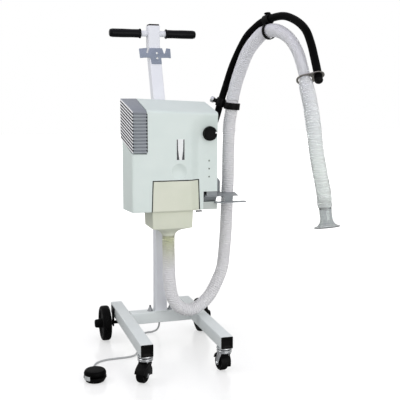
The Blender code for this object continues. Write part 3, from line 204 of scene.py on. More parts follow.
def sweep(points, radius, sides, bore=None, every=1, twist=0.0, shares=None, ribbing=None):
    # round tube on a path: "along" holds metres of path, plus twist a turn,
    # and "outer" is the share of a rib's height, which is 0 inside
    shares, ribbing = shares or [1.0] * len(points), ribbing or [1.0] * len(points)
    turns = [2 * math.pi * t / sides for t in range(sides)]
    loops, along, inner, innerAlong = [], [], [], []
    across, travelled = None, 0.0
    for k, point in enumerate(points):
        tangent = (points[min(k + 1, len(points) - 1)] - points[max(k - 1, 0)]).normalized()
        across = across or (alongX if abs(tangent.x) < 0.9 else alongY)
        across = (across - tangent * across.dot(tangent)).normalized()
        over = tangent.cross(across)
        travelled += (point - points[k - 1]).length if k else 0.0
        spokes = [across * math.cos(t) + over * math.sin(t) for t in turns]
        loops.append([point + spoke * radius * shares[k] for spoke in spokes])
        along.append([travelled + twist * t / (2 * math.pi) for t in turns])
        if bore and (k % every == 0 or k == len(points) - 1):
            inner.append([point + spoke * bore * shares[k] for spoke in spokes])
            innerAlong.append([travelled] * sides)
    mesh = skin(loops + inner[::-1], closed=bool(bore))
    values = {"along": [value for ring in along + innerAlong[::-1] for value in ring],
              "outer": [value for value in ribbing for turn in turns] + [0.0] * (len(inner) * sides)}
    for name, flat in values.items():
        mesh.attributes.new(name, "FLOAT", "POINT").data.foreach_set("value", flat)
    return mesh


def baked(mesh, change):
    # runs one modifier on a mesh and gives the plain result
    carrier = linked("carrier", mesh)
    change(carrier)
    graph = bpy.context.evaluated_depsgraph_get()
    made = bpy.data.meshes.new_from_object(carrier.evaluated_get(graph))
    bpy.data.objects.remove(carrier)
    return made


def soften(mesh, width, segments=2, angle=30):
    def change(carrier):
        edge = carrier.modifiers.new("edge", "BEVEL")
        edge.width, edge.segments = width, segments
        edge.limit_method, edge.angle_limit = "ANGLE", math.radians(angle)
    return baked(mesh, change)


def combine(mesh, other, operation):
    helper = linked("helper", other)

    def change(carrier):
        both = carrier.modifiers.new("both", "BOOLEAN")
        both.operation, both.object, both.solver = operation, helper, "EXACT"
    made = baked(mesh, change)
    bpy.data.objects.remove(helper)
    return made


def joined(meshes):
    bm = bmesh.new()
    for mesh in meshes:
        bm.from_mesh(mesh)
    return meshFrom(bm)


def cadCopy(node):
    # the CAD solid as merged faces, so that edges can be rounded and shaded
    bm = bmesh.new()
    bm.from_mesh(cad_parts[node].data)
    bmesh.ops.remove_doubles(bm, verts=bm.verts, dist=2e-6)
    bmesh.ops.dissolve_limit(bm, angle_limit=math.radians(0.5), verts=bm.verts, edges=bm.edges)
    mesh = meshFrom(bm)
    mesh.transform(Matrix.Translation(-standAt))
    return mesh


def addPiece(name, mesh, finish, body, stands=None, sharp=35):
    mesh.name = name
    mesh.transform(Matrix.Translation(standAt))
    mesh.materials.clear()
    mesh.materials.append(finish)
    mesh.polygons.foreach_set("use_smooth", [True] * len(mesh.polygons))
    mesh.set_sharp_from_angle(angle=math.radians(sharp))
    piece = linked(name, mesh)
    if body:
        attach(piece, body)
    if stands:
        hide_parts(stands)
    return piece


def addCopy(name, node, finish, body, edge, segments=2, angle=30, sharp=35):
    # the CAD solid itself, with its edges rounded
    addPiece(name, soften(cadCopy(node), edge, segments, angle), finish, body, node, sharp)


# nodes and finishes

def hexColour(code):
    values = [int(code[k:k + 2], 16) / 255 for k in (1, 3, 5)]
    return (*(v / 12.92 if v <= 0.04045 else ((v + 0.055) / 1.055) ** 2.4 for v in values), 1.0)


def addNode(tree, kind, links=None, **settings):
    # links holds plain values, sockets, or nodes that stand for their first output
    node = tree.nodes.new(kind)
    for name, value in settings.items():
        setattr(node, name, value)
    for key, value in (links or {}).items():
        value = value.outputs[0] if isinstance(value, bpy.types.Node) else value
        if isinstance(value, bpy.types.NodeSocket):
            tree.links.new(value, node.inputs[key])
        else:
            node.inputs[key].default_value = value
    return node


def perMetre(millimetres):
    return 1000.0 / millimetres  # texture scale for a pattern of that real size


def startFinish(name, roughness, metallic=0.0, ior=1.5, specular=0.5):
    finish = bpy.data.materials.new(name)
    finish.use_nodes = True
    tree = finish.node_tree
    shader = tree.nodes["Principled BSDF"]
    shader.inputs["Roughness"].default_value = roughness
    shader.inputs["Metallic"].default_value = metallic
    if not metallic:
        shader.inputs["IOR"].default_value = ior
        shader.inputs["Specular IOR Level"].default_value = specular
    place = addNode(tree, "ShaderNodeTexCoord").outputs["Object"]
    return finish, tree, shader, place


def dress(tree, shader, colours, ends, roughness, spread, bump, deep, patch, shine, grain):
    # the eye sees tone that wanders with patch, gloss with shine, and a fine relief from grain
    tone = addNode(tree, "ShaderNodeValToRGB", {"Fac": patch})
    for element, end, code in zip(tone.color_ramp.elements, ends, colours):
        element.position, element.color = end, hexColour(code)
    gloss = addNode(tree, "ShaderNodeMapRange", {
        "Value": shine, "From Min": 0.3, "From Max": 0.7, "To Min": roughness - spread / 2,
        "To Max": roughness + spread / 2})
    relief = addNode(tree, "ShaderNodeBump", {"Height": grain, "Strength": bump, "Distance": deep})
    for made, socket in ((tone, "Base Color"), (gloss, "Roughness"), (relief, "Normal")):
        tree.links.new(made.outputs[0], shader.inputs[socket])


def moulded(name, colours, roughness, grainMm, bump, patchMm=60.0, specular=0.5):
    # injection moulded plastic or sprayed coat: a fine even grain, and slow changes of tone and gloss
    finish, tree, shader, place = startFinish(name, roughness, specular=specular)
    ends, spread, deep = (0.35, 0.65), 0.08, 0.0004  # of the tones, of roughness, metres of relief
    patch, grain = (
        addNode(tree, "ShaderNodeTexNoise", {"Vector": place, "Scale": perMetre(size), "Detail": fine})
        for size, fine in ((patchMm, 3.0), (grainMm, 2.0)))
    dress(tree, shader, colours, ends, roughness, spread, bump, deep, patch, patch, grain)
    return finish


def metal(name, colours, roughness, grainMm, bump, stretch=(1.0, 1.0, 1.0)):
    # rolled or plated metal: fine lines along the rolling direction, and a slightly uneven plate
    finish, tree, shader, place = startFinish(name, roughness, metallic=1.0)
    ends, spread, deep, patchMm = (0.3, 0.7), 0.12, 0.0003, 14.0
    rolled = addNode(tree, "ShaderNodeMapping", {"Vector": place, "Scale": stretch})
    lines, patch = (
        addNode(tree, "ShaderNodeTexNoise", {"Vector": at, "Scale": perMetre(size), "Detail": fine})
        for at, size, fine in ((rolled, grainMm, 4.0), (place, patchMm, 3.0)))
    dress(tree, shader, colours, ends, roughness, spread, bump, deep, patch, lines, lines)
    return finish


def vinylHose(name, colours, clearFrom, clearTo):
    # translucent milky PVC, blown thin: pale and soft, and clearer towards one end where it is stretched
    cloudMm, cloudShare, agedEnds, clearEnds = 35.0, 0.3, (-0.15, 0.85), (0.10, 0.62)
    finish, tree, shader, place = startFinish(name, 0.30, ior=1.3)
    cloud = addNode(tree, "ShaderNodeTexNoise", {"Vector": place, "Scale": perMetre(cloudMm), "Detail": 2.0})
    along = addNode(tree, "ShaderNodeAttribute", attribute_name="along").outputs["Fac"]
    ends = {"Value": along, "From Min": clearFrom, "From Max": clearTo}
    aged, clear = (addNode(tree, "ShaderNodeMapRange", {**ends, "To Min": low, "To Max": high})
                   for low, high in (agedEnds, clearEnds))
    shade = addNode(tree, "ShaderNodeMath", {0: cloud, 1: cloudShare, 2: aged}, operation="MULTIPLY_ADD")
    tone = addNode(tree, "ShaderNodeValToRGB", {"Fac": shade})
    for element, code in zip(tone.color_ramp.elements, colours):
        element.color = hexColour(code)
    tree.links.new(tone.outputs["Color"], shader.inputs["Base Color"])
    tree.links.new(clear.outputs["Result"], shader.inputs["Transmission Weight"])
    shader.inputs["Subsurface Weight"].default_value = 0.85
    shader.inputs["Subsurface Radius"].default_value = (1.0, 1.0, 1.0)
    shader.inputs["Subsurface Scale"].default_value = 0.007
    return finish


def acrylicFunnel(name):
    # clear moulded plastic, polished, with faint flow lines
    finish, tree, shader, place = startFinish(name, 0.06, ior=1.49)
    flow = addNode(tree, "ShaderNodeTexNoise", {"Vector": place, "Scale": perMetre(9.0), "Detail": 2.0})
    relief = addNode(tree, "ShaderNodeBump", {"Height": flow, "Strength": 0.08, "Distance": 0.001})
    tree.links.new(relief.outputs["Normal"], shader.inputs["Normal"])
    shader.inputs["Base Color"].default_value = hexColour("#C4C8C8")
    shader.inputs["Transmission Weight"].default_value = 0.85
    return finish


# colours, roughness, grain in mm, bump, patch in mm, specular
powderCoat = moulded("powderCoatedSteel", ("#DAE0E0", "#E1E6E6"), 0.40, 1.4, 0.10, 120.0, 0.25)  # orange peel
powderCoatLit = moulded("powderCoatedSteelLit", ("#E8EAF0", "#EEF0F5"), 0.40, 1.4, 0.10, 120.0, 0.30)  # the same coat painted lighter and cooler: painted light on the mast and handle
housingAbs = moulded("mouldedAbsWhite", ("#D9E4E0", "#DEE8E4"), 0.46, 0.7, 0.08, 90.0)  # even, slightly green
creamAbs = moulded("mouldedAbsCream", ("#D9DDCB", "#DEE1D0"), 0.42, 0.7, 0.06, 70.0)  # the same, yellowed
grilleAbs = moulded("mouldedAbsGrey", ("#8F959B", "#979DA2"), 0.48, 0.7, 0.08)
greyAbsShaded = moulded("mouldedAbsGreyShaded", ("#858A93", "#8C9199"), 0.50, 0.7, 0.08)  # the fins' grey painted darker: painted shade on the lid and on the panes between the fins
highlightAbs = moulded("paintedHighlightWhite", ("#FAFBFF", "#FFFFFF"), 0.30, 0.7, 0.03)  # painted highlight on the fins' left edges
blackNylon = moulded("mouldedNylonBlack", ("#060606", "#0B0B0B"), 0.42, 0.8, 0.12, 25.0, 0.07)  # satin
armSleeve = moulded("vinylSleeveBlack", ("#040404", "#070707"), 0.44, 1.1, 0.10, 40.0, 0.03)  # matt
tyreRubber = moulded("tyreRubberBlack", ("#050505", "#0A0A0A"), 0.56, 0.9, 0.16, 22.0, 0.05)  # dry and matt
gripRubber = moulded("gripRubberBlack", ("#07070A", "#0C0C10"), 0.34, 0.9, 0.14, 30.0, 0.10)  # worn shiny
cablePvc = moulded("cablePvcGrey", ("#B4B6B7", "#C0C2C3"), 0.45, 1.2, 0.06)
shadeBlack = moulded("paintedShadeBlack", ("#08090B", "#101216"), 0.9, 1.6, 0.7, 3.0, 0.1)  # black sheets that stand for painted shade in the louvre gaps and behind the fins' ends
bracketPaint = moulded("paintedSheetGrey", ("#868B8E", "#8E9396"), 0.42, 1.2, 0.08, 40.0)
hookPaint = moulded("satinPaintBlueGrey", ("#838C9D", "#8C95A6"), 0.40, 1.2, 0.06, 40.0)
filterPaper = moulded("filterPaperWhite", ("#DEDBD2", "#EAE8E1"), 0.9, 0.8, 0.35, 4.0)
boardGreen = moulded("boardLacquerGreen", ("#17522F", "#1E6238"), 0.40, 1.0, 0.05, 8.0)
lensGreen = moulded("lensPolycarbonate", ("#6F7B70", "#7C887C"), 0.18, 1.0, 0.02)  # unlit, shiny
labelFilm = moulded("labelFilmWhite", ("#E9ECEC", "#F0F2F2"), 0.30, 1.2, 0.03)
labelInk = moulded("labelInkDark", ("#0C1018", "#121722"), 0.32, 1.2, 0.03)
plateGrey = moulded("plateLacquerGrey", ("#B6BDB9", "#BEC5C0"), 0.42, 1.0, 0.04)
dotWhite = moulded("dotEnamelWhite", ("#FAFAF8", "#FFFFFF"), 0.35, 1.0, 0.03)
# a painted highlight on the foot switch's rim, on the side that faces the left light
highlightGrey = moulded("paintedHighlightGrey", ("#B9BCBD", "#C9CCCC"), 0.35, 0.9, 0.05, 8.0)
zincPlate = metal("zincPlatedSteel", ("#B0B2B4", "#CDCFD1"), 0.16, 3.0, 0.05)  # bright bands
nickelPlate = metal("nickelPlatedSteel", ("#F4F4F2", "#FAFAF8"), 0.38, 3.0, 0.05)  # bright and even
ringSteel = metal("dullRingSteel", ("#86837D", "#94918B"), 0.38, 1.2, 0.10, (1.0, 0.04, 1.0))
castAlloy = metal("castMotorAlloy", ("#8C8E91", "#9EA0A3"), 0.45, 1.5, 0.25)  # rough from the mould
springSteel = metal("springSteel", ("#8F9194", "#A5A7AA"), 0.30, 2.0, 0.05)
vinylLower = vinylHose("milkyVinylLower", ("#EAE9EC", "#E6E8D2"), 0.120, 0.020)  # clear over the spigot
vinylUpper = vinylHose("milkyVinylUpper", ("#ECECF3", "#F2F6F4"), 0.45, 0.90)  # clear at the funnel
clearPlastic = acrylicFunnel("clearAcrylic")
print("finishes made")


# camera, floor and light

cameraView = {"at": (-0.609, -2.430, 0.867), "yaw": 17.2447, "pitch": -8.1134, "roll": 0.1057,
              "lensMm": 66.31, "sensorMm": 36.0, "far": 60.0}
camera = linked("camera", bpy.data.cameras.new("camera"))
camera.data.sensor_width, camera.data.lens = cameraView["sensorMm"], cameraView["lensMm"]
camera.data.clip_end = cameraView["far"]
turn = (Matrix.Rotation(math.radians(-cameraView["yaw"]), 4, "Z")
        @ Matrix.Rotation(math.radians(90 + cameraView["pitch"]), 4, "X")
        @ Matrix.Rotation(math.radians(cameraView["roll"]), 4, "Z"))
camera.matrix_world = Matrix.Translation(standAt + Vector(cameraView["at"])) @ turn
bpy.context.scene.camera = camera
bpy.context.scene.view_settings.view_transform = "Standard"

# the floor glows to white for the camera, less near the object so that it keeps the shadow
studio = {"floor": "#BFBFBE", "gloss": 0.20, "half": 14, "under": -0.0004, "glowNear": 0.53, "glowFar": 1.0,
          "near": 0.75, "far": 1.5, "ambient": 0.66, "mirror": 0.5}
white = (1.0, 1.0, 1.0, 1.0)


def seenDirectly(tree, mirror):
    # 1 for what the camera sees, also through clear plastic, and less for what a gloss mirrors
    path = addNode(tree, "ShaderNodeLightPath").outputs
    gloss = addNode(tree, "ShaderNodeMath", {0: path["Is Glossy Ray"], 1: mirror}, operation="MULTIPLY")
    most = path["Is Camera Ray"]
    for other in (gloss, path["Is Transmission Ray"]):
        most = addNode(tree, "ShaderNodeMath", {0: most, 1: other}, operation="MAXIMUM")
    return most


world = bpy.data.worlds.new("studio")
bpy.context.scene.world = world
world.use_nodes = True
tree = world.node_tree
strength = addNode(tree, "ShaderNodeMapRange", {"Value": seenDirectly(tree, studio["mirror"]),
                                                "To Min": studio["ambient"], "To Max": 1.0})
background = tree.nodes["Background"]
background.inputs["Color"].default_value = white
tree.links.new(strength.outputs["Result"], background.inputs["Strength"])

paper = bpy.data.materials.new("paperFloor")
paper.use_nodes = True
tree = paper.node_tree
shader = tree.nodes["Principled BSDF"]
shader.inputs["Base Color"].default_value = hexColour(studio["floor"])
shader.inputs["Roughness"].default_value = studio["gloss"]
shader.inputs["Emission Color"].default_value = white
spot = addNode(tree, "ShaderNodeVectorMath", {0: addNode(tree, "ShaderNodeTexCoord").outputs["Object"]},
               operation="LENGTH")
fade = addNode(tree, "ShaderNodeMapRange", {"Value": spot.outputs["Value"], "From Min": studio["near"],
                                            "From Max": studio["far"], "To Min": studio["glowNear"],
                                            "To Max": studio["glowFar"]}, interpolation_type="SMOOTHSTEP")
glow = addNode(tree, "ShaderNodeMath", {0: seenDirectly(tree, 0.0), 1: fade}, operation="MULTIPLY")
tree.links.new(glow.outputs[0], shader.inputs["Emission Strength"])
corners = [(a * studio["half"], b * studio["half"], studio["under"]) for a, b in rectangle(-1, -1, 1, 1)]
floor = linked("floor", meshOf(corners, [(0, 1, 2, 3)]))
floor.data.materials.append(paper)

# where, aimed at, size, watts and tint: the light from above is cool, as from a window
lamps = {"keyLight": ((0.7, -2.4, 0.95), (0.05, -0.1, 0.6), (2.2, 1.6), 24.0, "#FFFFFF"),
         "leftLight": ((-1.20, -0.05, 1.25), (0.0, 0.0, 0.6), (0.6, 0.6), 3.5, "#FFFFFF"),
         "topLight": ((-0.3, -0.5, 3.0), (0.0, 0.0, 0.4), (2.0, 2.0), 7.0, "#D8CCFF")}
for name, (at, target, size, watts, tint) in lamps.items():
    lamp = bpy.data.lights.new(name, "AREA")
    lamp.color = hexColour(tint)[:3]
    lamp.shape, lamp.size, lamp.size_y, lamp.energy = "RECTANGLE", *size, watts
    linked(name, lamp).matrix_world = aim(standAt + Vector(at), Vector(at) - Vector(target))
print("camera, floor and light set")


# geometry node trees for what repeats

def newTree(name, **sockets):
    tree = bpy.data.node_groups.new(name, "GeometryNodeTree")
    for label, kind in {"Geometry": "Geometry", **sockets, "Finish": "Material"}.items():
        tree.interface.new_socket(label, in_out="INPUT", socket_type="NodeSocket" + kind)
    tree.interface.new_socket("Geometry", in_out="OUTPUT", socket_type="NodeSocketGeometry")
    return tree, addNode(tree, "NodeGroupInput").outputs


def closeTree(tree, given, geometry):
    real = addNode(tree, "GeometryNodeRealizeInstances", {"Geometry": geometry})
    coated = addNode(tree, "GeometryNodeSetMaterial", {"Geometry": real, "Material": given["Finish"]})
    addNode(tree, "NodeGroupOutput", {"Geometry": coated})
    return tree


def runTree(mesh, tree, values):
    def change(carrier):
        nodes = carrier.modifiers.new("nodes", "NODES")
        nodes.node_group = tree
        for socket in tree.interface.items_tree:
            if socket.in_out == "INPUT" and socket.name in values:
                nodes[socket.identifier] = values[socket.name]
    return baked(mesh, change)


def ribTree():
    # lifts the outside of a swept tube into rounded ribs, by the metres of path stored on it
    tree, given = newTree("ribs", Pitch="Float", Height="Float", Roundness="Float")
    value, outer = (addNode(tree, "GeometryNodeInputNamedAttribute", {"Name": name}, data_type="FLOAT")
                    for name in ("along", "outer"))
    steps = (("DIVIDE", given["Pitch"]), ("FRACT",), ("MULTIPLY_ADD", 2.0, -1.0), ("ABSOLUTE",),
             ("POWER", given["Roundness"]), ("MULTIPLY_ADD", -1.0, 1.0), ("MULTIPLY", given["Height"]),
             ("MULTIPLY", outer))
    for operation, *others in steps:
        value = addNode(tree, "ShaderNodeMath", dict(enumerate([value, *others])), operation=operation)
    normal = addNode(tree, "GeometryNodeInputNormal")
    push = addNode(tree, "ShaderNodeVectorMath", {0: normal, "Scale": value}, operation="SCALE")
    moved = addNode(tree, "GeometryNodeSetPosition", {"Geometry": given["Geometry"], "Offset": push})
    return closeTree(tree, given, moved)


def stackTree():
    # copies a piece at even steps, as louvre fins
    tree, given = newTree("stack", Count="Int", Step="Vector")
    line = addNode(tree, "GeometryNodeMeshLine", {"Count": given["Count"], "Offset": given["Step"]})
    copies = addNode(tree, "GeometryNodeInstanceOnPoints", {"Points": line, "Instance": given["Geometry"]})
    return closeTree(tree, given, copies)


def turnTree():
    # copies a piece round the Z axis, as knurls
    tree, given = newTree("turn", Count="Int")
    line = addNode(tree, "GeometryNodeMeshLine", {"Count": given["Count"], "Offset": (0.0, 0.0, 0.0)})
    index = addNode(tree, "GeometryNodeInputIndex")
    share = addNode(tree, "ShaderNodeMath", {0: index, 1: given["Count"]}, operation="DIVIDE")
    angle = addNode(tree, "ShaderNodeMath", {0: share, 1: 2 * math.pi}, operation="MULTIPLY")
    euler = addNode(tree, "ShaderNodeCombineXYZ", {"Z": angle})
    spin = addNode(tree, "FunctionNodeEulerToRotation", {"Euler": euler})
    copies = addNode(tree, "GeometryNodeInstanceOnPoints", {"Points": line, "Instance": given["Geometry"],
                                                            "Rotation": spin})
    return closeTree(tree, given, copies)


def screwTree():
    # sets a screw head on each point, along the direction stored there
    tree, given = newTree("screws", Head="Object", Size="Float")
    head = addNode(tree, "GeometryNodeObjectInfo", {"Object": given["Head"]})
    facing = addNode(tree, "GeometryNodeInputNamedAttribute", {"Name": "facing"}, data_type="FLOAT_VECTOR")
    spin = addNode(tree, "FunctionNodeAlignRotationToVector", {"Vector": facing}, axis="Z")
    copies = addNode(tree, "GeometryNodeInstanceOnPoints", {
        "Points": given["Geometry"], "Instance": head.outputs["Geometry"], "Rotation": spin,
        "Scale": given["Size"]})
    return closeTree(tree, given, copies)


ribs, stack, turned, screws = ribTree(), stackTree(), turnTree(), screwTree()
print("node trees built")


def stacked(mesh, count, step, finish):
    return runTree(mesh, stack, {"Count": count, "Step": step, "Finish": finish})


# stand: square tubes, plugs, welds, bolts

tubes = {"half": halfTube, "corner": 0.0034, "wall": 0.002, "boreCorner": 0.0014, "edge": 0.0005,
         "legX": 0.1275, "middleZ": 0.102, "front": -0.344, "rear": 0.147, "crossEnd": 0.1072,
         "mastFoot": 0.1223, "bend": 0.820, "leanTop": 1.030, "leanBack": 0.079, "mastTop": 1.100,
         "bendRadius": 0.060}
# steps of half width and how far proud, and for the mast of inset and height
plug = {"half": 0.0176, "corner": 0.0012, "rim": 0.018, "rimCorner": 0.0024, "leastCorner": 0.0004,
        "steps": ((0.0176, -0.0160), (0.0176, 0.0004), (0.0192, 0.0004), (0.0192, 0.0012), (0.0186, 0.0017),
                  (0.0176, 0.0018), (0.0132, 0.0018), (0.0124, 0.0011), (0.0060, 0.0009)),
        "mastSteps": ((0.0, -0.0120), (0.0, 0.0044), (0.0004, 0.0049), (0.0012, 0.0052), (0.0080, 0.0052))}


def squareTube(stations):
    bore = tubes["half"] - tubes["wall"]
    outer = boxLoop(tubes["half"], tubes["half"], tubes["corner"], 6)
    inner = boxLoop(bore, bore, tubes["boreCorner"], 6)
    loops = [[at + a * sideA + b * sideB for a, b in outer] for at, sideA, sideB in stations]
    loops += [[at + a * sideA + b * sideB for a, b in inner] for at, sideA, sideB in reversed(stations)]
    return soften(skin(loops, closed=True), tubes["edge"], 2, 60)


for side, sign in bothSides:
    ends = [Vector((sign * tubes["legX"], y, tubes["middleZ"])) for y in (tubes["front"], tubes["rear"])]
    addPiece("legTube_" + side, squareTube([(at, alongX, alongZ) for at in ends]), powderCoat, "stand",
             "leg_" + side)
    for end, out in (("front", -1), ("rear", 1)):
        loops = []
        for half, proud in plug["steps"]:
            corner = plug["rimCorner"] if half > plug["rim"] else plug["corner"]
            loops.append([(sign * tubes["legX"] + a, tubes[end] + out * proud, tubes["middleZ"] + b)
                          for a, b in boxLoop(half, half, corner, 4)])
        addPiece(f"tubePlug_{end}_{side}", skin(loops), blackNylon, "stand", f"cap_{end}_{side}",
                 50)

ends = [Vector((sign * tubes["crossEnd"], 0.0, tubes["middleZ"])) for side, sign in bothSides]
addPiece("crossTube", squareTube([(at, alongY, alongZ) for at in ends]), powderCoat, "stand", "cross_tube")

mastRoute = fillet([(0, tubes["mastFoot"]), (0, tubes["bend"]), (tubes["leanBack"], tubes["leanTop"]),
                    (tubes["leanBack"], tubes["mastTop"])], tubes["bendRadius"], 12, closed=False)
stations = []
for k, (y, z) in enumerate(mastRoute):
    (y0, z0), (y1, z1) = mastRoute[max(k - 1, 0)], mastRoute[min(k + 1, len(mastRoute) - 1)]
    way = Vector((0, y1 - y0, z1 - z0)).normalized()
    stations.append((Vector((0, y, z)), alongX, Vector((0, way.z, -way.y))))
addPiece("mastTube", squareTube(stations), powderCoatLit, "stand", "mast")

loops = []
for inset, height in plug["mastSteps"]:
    half, corner = plug["half"] - inset, max(tubes["boreCorner"] - inset, plug["leastCorner"])
    loops.append([(a, tubes["leanBack"] + b, tubes["mastTop"] + height)
                  for a, b in boxLoop(half, half, corner, 4)])
addPiece("mastPlug", skin(loops), blackNylon, "stand", "mast_cap", 50)

weld = {"radius": 0.0021, "sides": 10, "ripplePitch": 0.0032, "ripple": 0.00045, "x": 0.1066, "y": 0.0206,
        "low": 0.0850, "high": 0.1185, "steps": 42, "foot": 0.0204, "footZ": 0.1226, "spacing": 0.0008,
        "roundness": 2.0}
seams = []
for sx in (-1, 1):
    for sy in (-1, 1):
        low, high = (Vector((sx * weld["x"], sy * weld["y"], z)) for z in (weld["low"], weld["high"]))
        seams.append([low.lerp(high, k / weld["steps"]) for k in range(weld["steps"] + 1)])
foot = [(a, b, weld["footZ"]) for a, b in boxLoop(weld["foot"], weld["foot"], tubes["corner"])]
seams.append(smoothPath(foot, weld["spacing"]))
rippled = {"Pitch": weld["ripplePitch"], "Height": weld["ripple"], "Roundness": weld["roundness"],
           "Finish": powderCoat}
beads = [runTree(sweep(seam, weld["radius"], weld["sides"]), ribs, rippled) for seam in seams]
addPiece("weldBeads", joined(beads), powderCoat, "stand", sharp=60)

mastBolt = {"x": 0.036, "base": 0.1222, "radius": 0.0085, "height": 0.0150}
r, h = mastBolt["radius"], mastBolt["height"]
cone = [(0, 0), (r + 0.0015, 0), (r + 0.0015, 0.0014), (r, 0.0018), (r - 0.0006, 0.0040), (0.0030, h), (0, h)]
tip = [(0, h + 0.0001), (0.0030, h + 0.0001), (0.0032, h + 0.0020), (0.0024, h + 0.0042), (0, h + 0.0048)]
places = [aim((sign * mastBolt["x"], 0, mastBolt["base"]), alongZ) for side, sign in bothSides]
cones = [lathe(cone, place, 32, edge=0.0005, edgeSteps=2) for place in places]
tips = [lathe(tip, place, 24, edge=0.0006, edgeSteps=2) for place in places]
addPiece("mastBoltCones", joined(cones), castAlloy, "stand")
addPiece("mastBoltTips", joined(tips), blackNylon, "stand")
print("stand tubes built")


# handle, grips and hook plate

handle = {"y": 0.079, "z": 1.074, "radius": 0.010, "half": 0.1447, "gripLength": 0.108, "gripRadius": 0.0145,
          "gap": 0.0003, "flange": 0.0018, "outerEnd": 0.151, "endWall": 0.006}
bar = mirrored([(0, -handle["half"]), (handle["radius"], -handle["half"])])
addPiece("handleTube", lathe(bar, aim((0, handle["y"], handle["z"]), alongX), 48, edge=0.0006, edgeSteps=2),
         powderCoatLit, "stand", "handle_bar")
r, length, bore = handle["gripRadius"], handle["gripLength"], handle["radius"] + handle["gap"]
inside = length - handle["endWall"]
grip = [(bore, 0), (r + handle["flange"], 0), (r + handle["flange"], 0.0040), (r - 0.0002, 0.0065),
        (r - 0.0006, 0.030), (r, 0.060), (r - 0.0002, length - 0.010), (r - 0.0022, length - 0.0022),
        (r - 0.0060, length), (0, length), (0, inside), (bore, inside)]
for side, sign in bothSides:
    place = aim((sign * (handle["outerEnd"] - length), handle["y"], handle["z"]), (sign, 0, 0))
    addPiece("handGrip_" + side, lathe(grip, place, 56, True, 0.0016, 4), gripRubber, "stand", "grip_" + side,
             60)

screwHead = {"radius": 0.5, "height": 0.42, "recess": 0.26, "deep": 0.24, "sides": 24}  # in head diameters


def headRing(radius, height, hexagon=False):
    made = []
    for k in range(screwHead["sides"]):
        t = 2 * math.pi * k / screwHead["sides"]
        r = radius / math.cos((t + math.pi / 6) % (math.pi / 3) - math.pi / 6) if hexagon else radius
        made.append((r * math.cos(t), r * math.sin(t), height))
    return made


r, h, recess = screwHead["radius"], screwHead["height"], screwHead["recess"]
dome = ((r, 0.0), (r, 0.10), (0.94 * r, 0.22), (0.80 * r, 0.34), (0.66 * r, h))
hexagon = [headRing(recess, height, True) for height in (h, h - screwHead["deep"])]
headShape = linked("buttonHead", skin([headRing(*ring) for ring in dome] + hexagon))

hook = {"edge": 0.00045, "screws": ((0.005, 0.9985), (0.005, 0.9815)), "screwSize": 0.0082, "sheet": 0.0023}
addCopy("hookPlate", "hook_plate", hookPaint, "stand", hook["edge"])
lean = math.atan2(tubes["leanBack"], tubes["leanTop"] - tubes["bend"])
hookOut = Vector((0, -math.cos(lean), math.sin(lean)))
spots = [Vector((x, (z - tubes["bend"]) * math.tan(lean), z)) + hookOut * (tubes["half"] + hook["sheet"])
         for x, z in hook["screws"]]
mesh = bpy.data.meshes.new("spots")
mesh.from_pydata([tuple(spot) for spot in spots], [], [])
mesh.attributes.new("facing", "FLOAT_VECTOR", "POINT").data.foreach_set("vector", [*hookOut] * len(spots))
heads = runTree(mesh, screws, {"Head": headShape, "Size": hook["screwSize"], "Finish": nickelPlate})
addPiece("hookScrews", heads, nickelPlate, "stand")
bpy.data.objects.remove(headShape)
print("handle and hook plate built")


# casters and rear wheels

caster = {"x": 0.1275, "y": -0.318, "trail": 0.018, "radius": 0.026, "width": 0.024, "top": 0.0817,
          "race": 0.0246, "bearing": 0.0075, "crown": 0.011, "stem": 0.018, "gap": 0.014, "sheet": 0.0025,
          "turn": {"left": 140.0, "right": 8.0}, "cheek": {"left": -1, "right": 1}, "wide": 0.0210,
          "slim": 0.0180, "overhang": 0.0085, "hood": 0.0052, "hoodInside": 0.0022, "hoodCorner": 0.0045,
          "plate": (-0.012, 0.014), "plateIn": 0.005, "eye": 0.008, "edge": 0.0005}
top, race, trail, r, gap = (caster[key] for key in ("top", "race", "trail", "radius", "gap"))
half = caster["width"] / 2
crownTop = top - caster["bearing"]
crownLow = crownTop - caster["crown"]
head = [(0, top + caster["stem"]), (0.005, top + caster["stem"]), (0.005, top), (race, top),
        (race + 0.0004, top - 0.0022), (race - 0.0004, top - 0.0044), (race - 0.0030, top - 0.0068),
        (0.006, top - 0.0070), (0.006, crownLow - 0.0004), (0.010, crownLow - 0.0004),
        (0.010, crownLow - 0.0025), (0, crownLow - 0.0025)]
crown = [(0.0064, crownLow), (race - 0.0040, crownLow), (race - 0.0012, crownLow + 0.0022),
         (race - 0.0006, crownLow + 0.0042), (race - 0.0030, crownLow + 0.0054),
         (race - 0.0030, crownLow + 0.0064), (race - 0.0004, crownLow + 0.0074),
         (race - 0.0004, crownTop - 0.0016), (race - 0.0018, crownTop), (0.0064, crownTop)]
bolt = mirrored([(0, -gap - 0.0060), (0.0052, -gap - 0.0060), (0.0055, -gap - 0.0010),
                 (0.0030, -gap - 0.0010)])
tread = mirrored([(0.0034, -half - 0.001), (0.0085, -half - 0.001), (0.0105, 0.0014 - half),
                  (r - 0.0085, 0.0026 - half), (r - 0.0065, 0.0008 - half), (r - 0.0030, -half),
                  (r - 0.0004, 0.0034 - half), (r, 0.0060 - half)])
axle = aim((0, trail, r), alongX)
